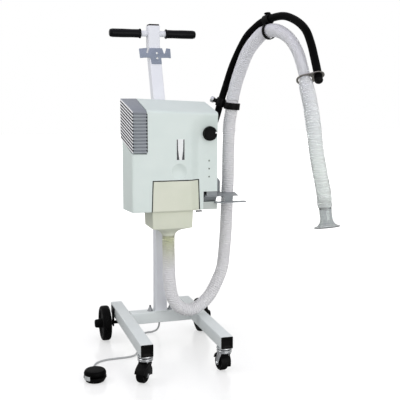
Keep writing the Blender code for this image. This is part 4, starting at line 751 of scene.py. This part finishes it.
for side, sign in bothSides:
    stem = Vector((sign * caster["x"], caster["y"], 0))
    heading = Matrix.Translation(stem) @ Matrix.Rotation(math.radians(caster["turn"][side]), 4, "Z")
    addPiece("casterRace_" + side, lathe(head, aim(stem, alongZ), 56, edge=0.0009), zincPlate, "stand",
             "caster_head_" + side)

    plates = []
    plate = [(y, crownTop - caster["plateIn"]) for y in caster["plate"]]
    plate += arc(trail, r, caster["eye"], 10, -190, 18)
    for s in (-1, 1):
        x0, x1 = sorted((s * gap, s * (gap + caster["sheet"])))
        plates.append(soften(slab(plate, x0, x1, "X"), caster["edge"], 2, 50))
    fork = joined([lathe(crown, Matrix(), 56, True, 0.0007), *plates,
                   lathe(bolt, axle, 6, edge=0.0004, edgeSteps=2)])
    fork.transform(heading)
    addPiece("casterFork_" + side, fork, zincPlate, "caster_" + side, "caster_fork_" + side)
    addPiece("casterTyre_" + side, lathe(tread, heading @ axle, 72, True, 0.0007), tyreRubber,
             "caster_wheel_" + side, "caster_wheel_" + side)

    # the guard is a black hood over the wheel, drawn out past one fork plate and up to the crown
    out, edge, under = caster["cheek"][side], gap - 0.0004, crownLow - 0.0008
    hood = arc(trail, r, r + caster["hood"], 196, 128, 14) + [(-caster["overhang"], under), (0.0170, under)]
    hood += arc(trail, r, r + caster["hood"], 60, 15, 10)
    inside = arc(trail, r, r + caster["hoodInside"], 15, 196, 40)
    guard = slab(fillet(hood, caster["hoodCorner"], 4, closed=False) + inside, -edge, edge, "X")
    for spot in guard.vertices:
        if spot.co.x * out > 0:
            high = min(max((spot.co.z - r) / (under - r), 0.0), 1.0)
            spot.co.x = out * (caster["slim"] + (caster["wide"] - caster["slim"]) * high)
    guard = soften(guard, 0.0008, 3, 50)
    cheek = arc(trail, r, r + 0.0030, 190, 20, 30) + [(0.0300, r - 0.0040), (0.0060, r - 0.0040)]
    x0, x1 = sorted(out * x for x in (gap + caster["sheet"] + 0.0003, caster["slim"] + 0.0006))
    guard = joined([guard, soften(slab(cheek, x0, x1, "X"), 0.0006, 2, 50)])
    guard.transform(heading)
    addPiece("casterGuard_" + side, guard, blackNylon, "caster_" + side, "caster_hood_" + side)

rearWheel = {"y": 0.097, "radius": 0.0615, "width": 0.030, "inner": 0.1630, "bore": 0.0064, "hub": 0.0215,
             "hubInside": 0.0160}
r, width, bore = rearWheel["radius"], rearWheel["width"], rearWheel["bore"]
hub, hubInside = width + rearWheel["hub"], width + rearWheel["hubInside"]
flank = [(r - 0.0200, 0.0055), (r - 0.0180, 0.0030), (r - 0.0130, 0.0004), (r - 0.0060, 0.0),
         (r - 0.0020, 0.0022), (r - 0.0002, 0.0070)]
tread = [(bore, -0.0020), (0.016, -0.0020), (0.020, 0.0020)] + flank + [(r, width / 2)]
tread += [(radius, width - height) for radius, height in flank[::-1]]
tread += [(0.0200, width - 0.0048), (0.0168, width - 0.0025), (0.0145, width + 0.0180), (0.0118, hub),
          (0, hub), (0, hubInside), (bore, hubInside)]
for side, sign in bothSides:
    place = aim((sign * rearWheel["inner"], rearWheel["y"], r), (sign, 0, 0))
    addPiece("rearTyre_" + side, lathe(tread, place, 88, True, 0.0010), tyreRubber, "rear_wheel_" + side,
             "rear_wheel_" + side)
    addCopy("axlePlate_" + side, "rear_bracket_" + side, blackNylon, "stand", 0.0005)
print("casters and rear wheels built")


# housing: shell, back, louvres, drawer, inlet hopper

shell = {"left": -0.131, "right": 0.154, "front": -0.178, "back": -0.0203, "rim": -0.0236, "crown": 0.006,
         "bottom": 0.4965, "drop": 0.009, "top": 0.8150, "rise": 0.0370, "fall": 0.046, "corner": 0.0045,
         "brow": 0.011, "browShare": 0.80, "wall": 0.003, "topWall": 0.005, "lip": 0.003, "grid": 0.0025,
         "margin": 0.010, "backEdge": 0.0008, "edges": (0.0, 0.0002, 0.0007, 0.0015, 0.0027, 0.0045)}
# the control strip is set back from the front
strip = {"face": -0.162, "left": 0.0755, "top": 0.7840, "round": 0.050, "soft": 0.034, "softer": 0.030}
drawer = {"x": 0.0128, "half": 0.0785, "flare": 0.0036, "top": 0.5970, "gap": 0.0030, "opening": -0.0006,
          "thick": 0.0056, "cut": 0.006, "tray": 0.0050, "edge": 0.0008}
slot = {"left": 0.107, "low": 0.5215, "high": 0.5555, "back": -0.100}  # for the hose bracket
inlet = {"left": -0.052, "right": 0.0615, "front": -0.148, "back": -0.052}  # opening in the floor
scoop = {"x": 0.0213, "z": 0.6245, "half": 0.025, "deep": 0.0070}
grille = {"left": -0.1285, "wide": -0.1365, "right": -0.0840, "corner": -0.083, "top": 0.8160, "rise": 0.0400}
louvre = {"count": 13, "pitch": 0.0104, "thick": 0.0056, "deep": 0.014, "edge": 0.0007, "point": 0.0030,
          "post": 0.002, "postIn": 0.005}
knob = {"x": 0.127, "z": 0.744, "face": -0.162, "radius": 0.0235, "height": 0.017, "hole": 0.0034,
        "dish": 0.0012, "knurls": 60, "dotAt": 0.0178, "dotTurn": 10.0, "dotRadius": 0.0030}
light = {"x": 0.126, "zs": (0.656, 0.630, 0.604), "face": -0.162, "radius": 0.0025, "hole": 0.0028}
# where cutters start and end, and how far they run past what they cut
cuts = {"rodStart": -0.19, "rodLength": 0.06, "floorLow": 0.44, "floorOver": 0.005, "notchLeft": -0.3,
        "notchTop": 1.0}
through = 0.05


def depthAt(y):
    return (y - shell["front"]) / (shell["back"] - shell["front"])


def topAt(x, y):
    return shell["top"] + shell["rise"] * depthAt(y) - shell["fall"] * x


def grilleTop(y):
    return grille["top"] + grille["rise"] * depthAt(y)


def setBack(x, z):
    # 1 on the control strip, 0 on the crowned front, softer near the strip's top
    u, v = strip["left"] - x + strip["round"], z - strip["top"] + strip["round"]
    away = math.hypot(max(u, 0), max(v, 0)) + min(max(u, v), 0) - strip["round"]
    soft = strip["soft"] + strip["softer"] * min(max((z - strip["top"]) / strip["round"] + 1.4, 0), 1)
    part = min(max(0.5 - away / soft, 0), 1)
    return part * part * (3 - 2 * part)


def crownAt(x):
    middle, half = (shell["left"] + shell["right"]) / 2, (shell["right"] - shell["left"]) / 2
    return shell["front"] + shell["crown"] * ((x - middle) / half) ** 2


def faceAt(x, z):
    front = crownAt(x)
    return front + max(strip["face"] - front, 0.0) * setBack(x, z)


def sideOf(x):
    # one slice of the shell: under, up the front, over the brow to the back
    rim, bottom, corner = shell["rim"], shell["bottom"], shell["corner"]
    inside = corner - min(x - shell["left"], shell["right"] - x, corner)
    front = crownAt(x) + (corner - math.sqrt(max(corner ** 2 - inside ** 2, 0.0)))
    lip = shell["lip"]
    low, high = bottom + lip, topAt(x, front) - shell["brow"] * shell["browShare"]
    rows = round((shell["top"] - bottom) / shell["grid"])
    points = [(rim, bottom - shell["drop"] * depthAt(rim)), (front + lip, bottom)]
    points += [(front + 0.0008, bottom + 0.0010)]
    points += [(front, low + (high - low) * k / rows) for k in range(rows + 1)]
    over = [(front, low), (front, topAt(x, front)), (rim, topAt(x, rim))]
    points += fillet(over, shell["brow"], 10, closed=False)[2:-1] + over[-1:]
    return [(x, y + max(strip["face"] - y, 0.0) * setBack(x, z), z) for y, z in points]


def drawerEdge(less, low=shell["bottom"] - through):
    half = drawer["half"] - less
    wide = half + drawer["flare"] * (drawer["top"] - low) / (drawer["top"] - shell["bottom"])
    return [(drawer["x"] - wide, low), (drawer["x"] + wide, low), (drawer["x"] + half, drawer["top"] - less),
            (drawer["x"] - half, drawer["top"] - less)]


span = shell["right"] - shell["left"]
flat = span - 2 * shell["margin"]
columns = round(flat / shell["grid"])
across = [*shell["edges"], *(shell["margin"] + flat * k / columns for k in range(columns + 1)),
          *(span - edge for edge in shell["edges"][::-1])]
hull = skin([sideOf(shell["left"] + x) for x in across])
wall, before, behind = shell["wall"], shell["front"] - through, shell["rim"] + through
inner, floorZ = strip["face"] + wall, shell["bottom"] + wall
drawerFace = combine(hull, slab(drawerEdge(drawer["gap"]), before, inner + drawer["thick"], "Y"), "INTERSECT")
room = [[(x, behind, floorZ), (x, inner, floorZ), (x, inner, topAt(x, inner) - shell["topWall"]),
         (x, behind, topAt(x, behind) - shell["topWall"])]
        for x in (shell["left"] + wall, shell["right"] - wall)]
tall = louvre["count"] * louvre["pitch"]
notch = [(before, grilleTop(before) - tall), (behind, grilleTop(behind) - tall), (behind, cuts["notchTop"]),
         (before, cuts["notchTop"])]
ball = (scoop["half"] ** 2 + scoop["deep"] ** 2) / (2 * scoop["deep"])
bowl = [(ball * math.sin(math.radians(t)), ball * math.cos(math.radians(t))) for t in range(0, 33, 2)]
bowlPlace = aim((scoop["x"], scoop["deep"] + shell["front"] - ball, scoop["z"]), alongY)
holes = [(knob["x"], knob["z"], knob["hole"])] + [(light["x"], z, light["hole"]) for z in light["zs"]]
rods = [lathe([(0, 0), (r, 0), (r, cuts["rodLength"]), (0, cuts["rodLength"])],
              aim((x, cuts["rodStart"], z), alongY), 24) for x, z, r in holes]
floorHole = rectangle(inlet["left"], inlet["front"], inlet["right"], inlet["back"])
slotHole = rectangle(slot["left"], before, shell["right"] + through, slot["back"])
for cutter in (skin(room), slab(drawerEdge(drawer["opening"]), before, inner + drawer["cut"], "Y"),
               slab(floorHole, cuts["floorLow"], floorZ + cuts["floorOver"], "Z"),
               slab(notch, cuts["notchLeft"], grille["corner"], "X"),
               slab(slotHole, slot["low"], slot["high"], "Z"), lathe(bowl + [(0, ball * 0.8)], bowlPlace, 72),
               joined(rods)):
    hull = combine(hull, cutter, "DIFFERENCE")
addPiece("housingShell", hull, housingAbs, "stand", "housing_cover", 32)
addCopy("housingBackPlate", "housing_back", housingAbs, "stand", shell["backEdge"])

leftX, wideX, rightX = grille["left"], grille["wide"], grille["right"]
frontY, rimY = shell["front"], shell["rim"]
innerX, innerY = leftX + louvre["deep"], frontY + louvre["deep"]
pitch, thick, count = louvre["pitch"], louvre["thick"], louvre["count"]
stepDown = (0.0, 0.0, -pitch)
foot = (count - 1) * pitch + thick / 2


def leaning(plan, *drops):
    # a plan view between two depths below the grille's sloping top
    return skin([[(x, y, grilleTop(y) - drop) for x, y in plan] for drop in drops])


bent = [(wideX, rimY), (leftX, frontY), (rightX, frontY), (rightX, innerY), (innerX, innerY), (innerX, rimY)]
tipTop = grilleTop(frontY) - pitch
tip = [(rightX - 0.001, tipTop - 0.0004), (rightX + louvre["point"], tipTop - thick / 2),
       (rightX - 0.001, tipTop - thick + 0.0004)]
oneFin = joined([soften(leaning(bent, pitch, pitch + thick), louvre["edge"]),
                 slab(tip, frontY + 0.0004, frontY + 0.0020, "Y")])
post, postIn = louvre["post"], louvre["postIn"]
posts = [leaning(boxLoop(post, post, 0.0004, 1, x - postIn, y - postIn), thick / 2, foot)
         for x, y in ((rightX, innerY), (innerX, innerY), (innerX, rimY))]
addPiece("louvreFins", joined([stacked(oneFin, count - 1, stepDown, grilleAbs), *posts]), grilleAbs, "stand",
         "louvre_grille")
lid = [(wideX, rimY), (leftX, frontY), (rightX, frontY), (rightX, rimY)]
addPiece("louvreLid", soften(leaning(lid, 0.0, thick), louvre["edge"]), greyAbsShaded, "stand")
lip = {"proud": 0.0008, "deep": 0.0006, "inset": 0.0003}  # painted highlight along each fin's left side
plan = [(wideX - lip["proud"], rimY), (leftX - lip["proud"], frontY + lip["deep"]),
        (leftX + lip["deep"], frontY + lip["deep"]), (wideX + lip["deep"], rimY)]
finHighlights = stacked(leaning(plan, lip["inset"], thick - lip["inset"]), count, stepDown, highlightAbs)
addPiece("louvreFinEdges", finHighlights, highlightAbs, "stand")
finGapShade = {"proud": 0.0003, "thick": 0.0020, "end": 0.0009, "rim": 0.001, "over": 0.0004}  # painted shade: a black sheet in the gaps, at the left
nearEnd, rimEnd = frontY + finGapShade["end"], rimY - finGapShade["rim"]
plan = [(wideX - finGapShade["proud"], rimEnd), (leftX - finGapShade["proud"], nearEnd), (leftX + finGapShade["thick"], nearEnd),
        (wideX + finGapShade["thick"], rimEnd)]
addPiece("louvreFoam", leaning(plan, thick - finGapShade["over"], foot), shadeBlack, "stand")
shadePane = {"left": 0.0032, "right": 0.001, "front": 0.0040, "thick": 0.0020, "gap": 0.0003}  # painted shade: darker grey panes in the gaps, in front
x0, x1, y0 = leftX + shadePane["left"], rightX - shadePane["right"], frontY + shadePane["front"]
plan = rectangle(x0, y0, x1, y0 + shadePane["thick"])
shadePanes = stacked(leaning(plan, thick + shadePane["gap"], pitch - shadePane["gap"]), count - 1, stepDown, greyAbsShaded)
addPiece("louvreScreen", shadePanes, greyAbsShaded, "stand")
seam = {"in": 0.0004, "down": 0.008, "proud": 0.0005, "deep": 0.003}  # shadow behind the fins' pointed ends
x0, x1, gridTop = rightX - seam["in"], rightX + louvre["point"], grilleTop(frontY)
outline = rectangle(x0, gridTop - foot, x1, gridTop - seam["down"])
seamY = faceAt(rightX, grille["top"])
addPiece("louvreSeam", slab(outline, seamY - seam["proud"], seamY + seam["deep"], "Y"), shadeBlack, "stand")

far = 0.3  # well past the tray
rear = slab(rectangle(-far, far, far, 3 * far), inner + drawer["tray"], far, "Y")  # all but its own front
tray = combine(cadCopy("filter_drawer"), rear, "INTERSECT")
addPiece("drawerFront", joined([drawerFace, soften(tray, drawer["edge"], 2, 40)]), creamAbs, "filter_drawer",
         "filter_drawer")
# a black strip behind the drawer's gap: painted shade that darkens the gap lines
gapShadow = {"outer": -0.0005, "inner": 0.0027, "behind": 0.0008, "deep": 0.009, "foot": 0.0006, "steps": 24}


def gapShadowLine(less):
    leftFoot, rightFoot, rightTop, leftTop = drawerEdge(less, shell["bottom"] + gapShadow["foot"])
    corners = [leftFoot, leftTop, rightTop, rightFoot]
    shares = [k / gapShadow["steps"] for k in range(gapShadow["steps"])]
    line = [Vector(a).lerp(Vector(b), share) for a, b in zip(corners, corners[1:]) for share in shares]
    return line + [Vector(rightFoot)]


sections = []
for (x0, z0), (x1, z1) in zip(gapShadowLine(gapShadow["outer"]), gapShadowLine(gapShadow["inner"])):
    near = faceAt((x0 + x1) / 2, (z0 + z1) / 2) + gapShadow["behind"]
    far = near + gapShadow["deep"]
    sections.append([(x0, near, z0), (x1, near, z1), (x1, far, z1), (x0, far, z0)])
addPiece("drawerGasket", skin(sections), gripRubber, "stand", sharp=60)
addCopy("inletHopper", "inlet_box", creamAbs, "stand", 0.0014, 3, 24, 50)
for node, finish in (("mains_inlet", blackNylon), ("blower_casing", blackNylon), ("motor", castAlloy),
                     ("control_board", boardGreen), ("filter_pack", filterPaper), ("impeller", blackNylon),
                     ("cable_grommet", gripRubber)):
    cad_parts[node].material_slots[0].material = finish
print("housing built")


# controls on the front

r, h = knob["radius"], knob["height"]
face = h - knob["dish"]
knobPlace = aim((knob["x"], knob["face"], knob["z"]), -alongY, alongX)
knobShape = [(0, -0.014), (0.003, -0.014), (0.003, 0.0004), (r, 0.0004), (r, 0.0030), (r - 0.0012, 0.0042),
             (r - 0.0024, h - 0.0024), (r - 0.0044, h), (r - 0.0080, h - 0.0003), (r - 0.0092, h - 0.0010),
             (0, face)]
ridge = [(r - 0.0020, -0.0005), (r - 0.0010, -0.0003), (r - 0.0010, 0.0003), (r - 0.0020, 0.0005)]
ridges = runTree(slab(ridge, 0.0050, h - 0.0030, "Z"), turned,
                 {"Count": knob["knurls"], "Finish": blackNylon})
ridges.transform(knobPlace)
addPiece("speedKnob", joined([lathe(knobShape, knobPlace, 96, edge=0.0007), ridges]), blackNylon,
         "speed_knob", "speed_knob")
t, r = math.radians(knob["dotTurn"]), knob["dotRadius"]
dotPlace = knobPlace @ Matrix.Translation((knob["dotAt"] * math.cos(t), knob["dotAt"] * math.sin(t), face))
dot = [(0, 0), (r, 0), (r, 0.0011), (r - 0.0003, 0.0014), (0, 0.0015)]
addPiece("knobDot", lathe(dot, dotPlace, 24), dotWhite, "speed_knob")

r = light["radius"]
lens = [(0, -0.008), (r, -0.008), (r, 0.0004), (r * 0.92, 0.0010), (r * 0.70, 0.0017), (r * 0.35, 0.0021),
        (0, 0.0022)]
for k, z in enumerate(light["zs"]):
    place = aim((light["x"], light["face"], z), -alongY)
    addPiece(f"statusLens_{k + 1}", lathe(lens, place, 32), lensGreen, "stand", f"indicator_{k + 1}")

label = {"x0": 0.0120, "x1": 0.0385, "z0": 0.661, "z1": 0.7285, "face": -0.1784, "corner": 0.0008,
         "near": 0.0, "far": 0.0010, "bar": 0.0082, "narrow": 0.52, "narrower": 0.8, "insetX": 0.0006,
         "insetZ": 0.0012, "barNear": -0.0003, "barFar": 0.0002}
barePlate = {"x0": 0.1065, "x1": 0.1530, "z0": 0.4968, "z1": 0.5205, "face": -0.1622, "corner": 0.0010,
             "near": -0.0003, "far": 0.0004}


def plateSlab(plate):
    (x0, x1), (z0, z1) = ((plate[key + "0"], plate[key + "1"]) for key in "xz")
    outline = boxLoop((x1 - x0) / 2, (z1 - z0) / 2, plate["corner"], 3, (x0 + x1) / 2, (z0 + z1) / 2)
    return slab(outline, plate["face"] + plate["near"], plate["face"] + plate["far"], "Y")


addPiece("labelPlate", plateSlab(label), labelFilm, "stand")
bars = []
for x, sign in ((label["x0"] + label["insetX"], 1), (label["x1"] - label["insetX"], -1)):
    wide, narrow = sign * label["bar"], sign * label["bar"] * label["narrow"]
    z0, z1 = label["z0"] + label["insetZ"], label["z1"] - label["insetZ"]
    outline = [(x, z0), (x + wide, z0), (x + narrow, (z0 + z1) / 2),
               (x + narrow * label["narrower"], z1), (x, z1)]
    bars.append(slab(outline, label["face"] + label["barNear"], label["face"] + label["barFar"], "Y"))
addPiece("labelBars", joined(bars), labelInk, "stand")
addPiece("barePlate", plateSlab(barePlate), plateGrey, "stand")

latch = {"x0": 0.0775, "x1": 0.0985, "count": 4, "z": 0.4940, "half": 0.0024, "face": -0.1745, "deep": 0.006,
         "share": 0.36, "corner": 0.0006}
step = (latch["x1"] - latch["x0"]) / latch["count"]
tooth = boxLoop(step * latch["share"], latch["half"], latch["corner"], 2, latch["x0"] + step / 2, latch["z"])
tooth = slab(tooth, latch["face"], latch["face"] + latch["deep"], "Y")
addPiece("latchTeeth", stacked(tooth, latch["count"], (step, 0.0, 0.0), blackNylon), blackNylon, "stand")
print("controls built")


# hose bracket, arm, clamps and ring

lining = {"left": 0.1082, "right": 0.1536, "step": 0.010, "face": -0.1600, "split": 0.5375, "lean": 0.012,
          "thick": 0.0012, "gap": 0.0004}  # two sheets in the slot
face, split, thick = lining["face"], lining["split"], lining["thick"]
sheets = []
for left, back, z in ((lining["left"], face + lining["lean"], slot["low"] + lining["gap"]),
                      (lining["left"] + lining["step"], face, slot["high"] - lining["gap"])):
    outline = [(face, split), (back, z), (back + thick, z), (face + thick, split)]
    sheets.append(slab(outline, left, lining["right"], "X"))
addPiece("slotLining", joined(sheets), bracketPaint, "stand")

sheetEdge, castEdge, socketEdge = 0.0004, 0.0006, 0.0008
addCopy("hoseShelf", "hose_bracket", bracketPaint, "stand", sheetEdge)
addCopy("armSocket", "arm_bracket", blackNylon, "stand", socketEdge, 2, 40)

arm = {"radius": 0.012, "x": 0.186, "y": -0.004, "low": 0.646, "top": 0.715, "straight": 0.733,
       "spacing": 0.006}
armRoute = [
    *((arm["x"], arm["y"], arm[key]) for key in ("low", "top", "straight")),
    (0.1925, -0.0045, 0.764), (0.2039, -0.0070, 0.7988), (0.2135, -0.0128, 0.838), (0.2259, -0.0240, 0.8874),
    (0.2403, -0.0656, 0.970), (0.2577, -0.1300, 1.047), (0.2737, -0.1766, 1.0800), (0.2897, -0.2210, 1.0990),
    (0.3127, -0.3012, 1.1063), (0.3288, -0.3616, 1.0892), (0.3390, -0.4115, 1.0590),
    (0.3450, -0.4385, 1.0190), (0.3446, -0.4690, 0.9693), (0.3421, -0.4920, 0.9354),
    (0.3390, -0.5085, 0.9110)]
addPiece("bentArm", sweep(smoothPath(armRoute, arm["spacing"]), arm["radius"], 36), armSleeve, "arm",
         "support_arm", 60)
for name, node in (("clampLower", "hose_clamp_lower"), ("clampUpper", "hose_clamp_upper"),
                   ("armEndCap", "arm_end_cap")):
    addCopy(name, node, blackNylon, "arm", castEdge, 2, 40)
addCopy("ringPlate", "ring_plate", ringSteel, "arm", sheetEdge, 2, 40)
for name, finish, coat in (("clamp_screw_lower", zincPlate, "sheet_steel"),
                           ("clamp_screw_upper", blackNylon, "black_plastic")):
    addCopy("knurled_" + name, name, finish, name, sheetEdge)
print("arm built")


# hose and funnel

hose = {"crest": 0.0216, "root": 0.0192, "bore": 0.0166, "pitch": 0.0075, "roundness": 1.5, "sides": 44,
        "perRib": 6, "neck": 0.80, "widens": 0.016, "plain": 0.25, "ribsFade": 1.6, "ribsReturn": 0.05}
clampRise = Vector((0.090, -0.080, 0.990)).normalized()
holds = {"lower": ((0.2150, -0.0138, 0.8425), (0.0305, -0.0250, 0.0), 0.0430, 0.0),
         "upper": ((0.2937, -0.2350, 1.101), (0.0, 0.0, -1.0), 0.0370, 0.0),
         "ring": (armRoute[-1], (-0.0286, 0.0218, -0.0111), 0.0385, 0.016)}  # spot, side, reach and drop
armPath = smoothPath(armRoute, 0.004)


def onArm(spot, side, reach, drop):
    # where a clamp at a spot on the arm holds the hose, and the arm's direction there
    k = min(range(1, len(armPath)), key=lambda at: (armPath[at] - Vector(spot)).length)
    along = (armPath[k] - armPath[k - 1]).normalized()
    return aim(armPath[k], along, side) @ Vector((reach, 0, -drop)), along


atLower = onArm(*holds["lower"])[0]
atUpper, upperAlong = onArm(*holds["upper"])
atRing, ringDown = onArm(*holds["ring"])
lowerRoute = [
    (0.0048, -0.100, 0.4060), (0.0048, -0.100, 0.362), (0.0060, -0.100, 0.300), (0.0085, -0.100, 0.245),
    (0.0170, -0.100, 0.195), (0.0400, -0.100, 0.158), (0.0790, -0.099, 0.1437), (0.1150, -0.098, 0.1570),
    (0.1500, -0.096, 0.1890), (0.1760, -0.092, 0.231), (0.1960, -0.088, 0.275), (0.2050, -0.083, 0.318),
    (0.2135, -0.078, 0.402), (0.2190, -0.072, 0.490), (0.2215, -0.069, 0.540), (0.2245, -0.066, 0.587),
    (0.2275, -0.059, 0.650), (0.2326, -0.048, 0.714), (0.2385, -0.037, 0.770),
    *(atLower - clampRise * back for back in (0.026, 0.013, 0.0003))]
upperRoute = [
    *(atLower + clampRise * on for on in (0.0003, 0.013, 0.026)),
    (0.2510, -0.0620, 0.8980), (0.2550, -0.0865, 0.938), (0.2640, -0.1430, 1.0085), (0.2825, -0.2020, 1.0550),
    atUpper - upperAlong * 0.012, atUpper + upperAlong * 0.012,
    (0.3060, -0.3000, 1.0600), (0.3166, -0.355, 1.0340), (0.3200, -0.4052, 0.9930), (0.3155, -0.450, 0.9470),
    atRing - ringDown * 0.010, atRing + ringDown * 0.010,
    (0.3070, -0.5240, 0.843), (0.3052, -0.5560, 0.7700), (0.3080, -0.5710, 0.7050), (0.3190, -0.5780, 0.6400),
    (0.3290, -0.5765, 0.600), (0.3375, -0.5710, 0.5574)]


def ribbedHose(route, finish, narrow=None):
    # narrow gives where the hose starts to thin and where it is thinnest, just before it is full again
    path = smoothPath(route, hose["pitch"] / hose["perRib"])
    shares, ribbing = [1.0] * len(path), [1.0] * len(path)
    if narrow:
        start, end = (min(range(len(path)), key=lambda k: (path[k] - spot).length) for spot in narrow)
        for k in range(start, len(path)):
            part = (k - start) / (end - start)
            over = (path[k] - path[end]).length if k > end else 0.0
            thin = min(part, 1.0) if k <= end else max(1 - over / hose["widens"], 0.0)
            shares[k] = 1 - (1 - hose["neck"]) * thin
            ribbing[k] = (max(1 - hose["ribsFade"] * part, hose["plain"]) if k <= end
                          else min(hose["plain"] + over / hose["ribsReturn"], 1.0))
    smooth = sweep(path, hose["root"], hose["sides"], hose["bore"], hose["perRib"], hose["pitch"], shares,
                   ribbing)
    made = runTree(smooth, ribs, {"Pitch": hose["pitch"], "Height": hose["crest"] - hose["root"],
                                  "Roundness": hose["roundness"], "Finish": finish})
    return made, [tuple(point + standAt) for point in path], lengthOf(path)


lowerMesh, lowerPath, lowerLength = ribbedHose(lowerRoute, vinylLower)
hoseLower = addPiece("hoseLower", lowerMesh, vinylLower, None, "hose_lower", 80)
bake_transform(hoseLower)
upperMesh, upperPath, upperLength = ribbedHose(upperRoute, vinylUpper, (atUpper, atRing))
hoseUpper = addPiece("hoseUpper", upperMesh, vinylUpper, "arm", "hose_upper", 80)

funnelTip = Vector((-0.12, -0.26, 0.0))  # tipped a little forwards and aside in the hose
hoseDown = (Vector(upperPath[-1]) - Vector(upperPath[-6])).normalized()
funnelPlace = aim(Vector(upperPath[-1]) - standAt, hoseDown + funnelTip)
funnelShape = [(0.0145, -0.0200), (0.0145, 0.0003), (0.0180, 0.0003), (0.0180, 0.0340), (0.0188, 0.0400),
               (0.0208, 0.0462), (0.0246, 0.0518), (0.0306, 0.0560), (0.0375, 0.0585), (0.0375, 0.0610),
               (0.0298, 0.0582), (0.0226, 0.0535), (0.0186, 0.0470), (0.0166, 0.0400), (0.0160, 0.0340),
               (0.0160, 0.0100), (0.0120, 0.0040), (0.0120, -0.0200)]
funnel = addPiece("clearFunnel", lathe(funnelShape, funnelPlace, 72, True, 0.0008), clearPlastic, "arm",
                  "suction_nozzle", 50)
print("hose built, lower", round(lowerLength, 3), "m and upper", round(upperLength, 3), "m")


# foot switch and its cable

footSwitch = {"x": -0.275, "y": -0.274, "radius": 0.035, "height": 0.036, "skirt": 0.0256, "wall": 0.0025,
              "under": 0.0145, "cap": 0.0065, "travel": 0.004, "patch": (196, 238),
              "patchZ": (0.0105, 0.0232), "patchProud": 0.0008, "edge": 0.0005}
switchPlace = aim((footSwitch["x"], footSwitch["y"], 0), alongZ)
addCopy("switchBase", "foot_switch_base", blackNylon, "stand", footSwitch["edge"], 2, 40)
r, top, skirt = footSwitch["radius"], footSwitch["height"], footSwitch["skirt"]
under, cap, inside = top - footSwitch["under"], top - footSwitch["cap"], skirt - footSwitch["wall"]
pedal = [(0, top), (r * 0.45, top - 0.0001), (r * 0.82, top - 0.0004), (r - 0.0034, top - 0.0030),
         (r - 0.0010, top - 0.0085), (r - 0.0010, under), (skirt, under), (skirt, under - 0.011),
         (inside, under - 0.011), (inside, cap), (0, cap)]
addPiece("switchPedal", lathe(pedal, switchPlace, 72, edge=0.0012), armSleeve, "foot_pedal", "foot_pedal")
spring = addPiece("pedalSpring", cadCopy("pedal_spring"), springSteel, "stand", "pedal_spring")
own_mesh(spring)
sections = []  # painted highlight round the base's rim, clear of the pedal
for degrees in range(*footSwitch["patch"], 3):
    out = Vector((math.cos(math.radians(degrees)), math.sin(math.radians(degrees)), 0))
    low, high = footSwitch["patchZ"]
    corners = (footSwitch["patchProud"], low), (footSwitch["patchProud"], high), (0.0, high), (0.0, low)
    sections.append([switchPlace.translation + out * (r + proud) + alongZ * z for proud, z in corners])
addPiece("switchPatch", skin(sections), highlightGrey, "stand")

cable = {"radius": 0.00325, "lies": 0.0036, "spacing": 0.004, "sleeve": 0.0056, "sleeveSteps": 8,
         "thin": 0.72, "widens": 0.04}
lies = cable["lies"]
cableRoute = [
    (0.000, 0.0230, 0.160), (0.000, 0.0400, 0.160), (0.003, 0.0560, 0.153), (0.010, 0.0740, 0.128),
    (0.018, 0.0860, 0.090), (0.0215, 0.0970, 0.050), (0.018, 0.1110, 0.018), (0.002, 0.1210, 0.0045),
    (-0.021, 0.1200, lies), (-0.046, 0.1020, lies), (-0.064, 0.0600, lies), (-0.080, 0.0000, lies),
    (-0.094, -0.0600, lies), (-0.112, -0.1000, lies), (-0.140, -0.1130, lies), (-0.180, -0.1150, lies),
    (-0.216, -0.1190, lies), (-0.245, -0.1350, lies), (-0.260, -0.1620, lies), (-0.266, -0.1950, 0.0050),
    (-0.2690, -0.2180, 0.0085), (-0.2698, -0.2285, 0.0090)]
cablePath = smoothPath(cableRoute, cable["spacing"])
footCable = addPiece("footCable", sweep(cablePath, cable["radius"], 20), cablePvc, "stand", "foot_cable",
                     60)
widths = [cable["thin"] + cable["widens"] * k for k in range(cable["sleeveSteps"])]  # black sleeve
sleeve = sweep(cablePath[-cable["sleeveSteps"]:], cable["sleeve"], 24, shares=widths)
addPiece("cableSleeve", sleeve, armSleeve, "stand", sharp=60)
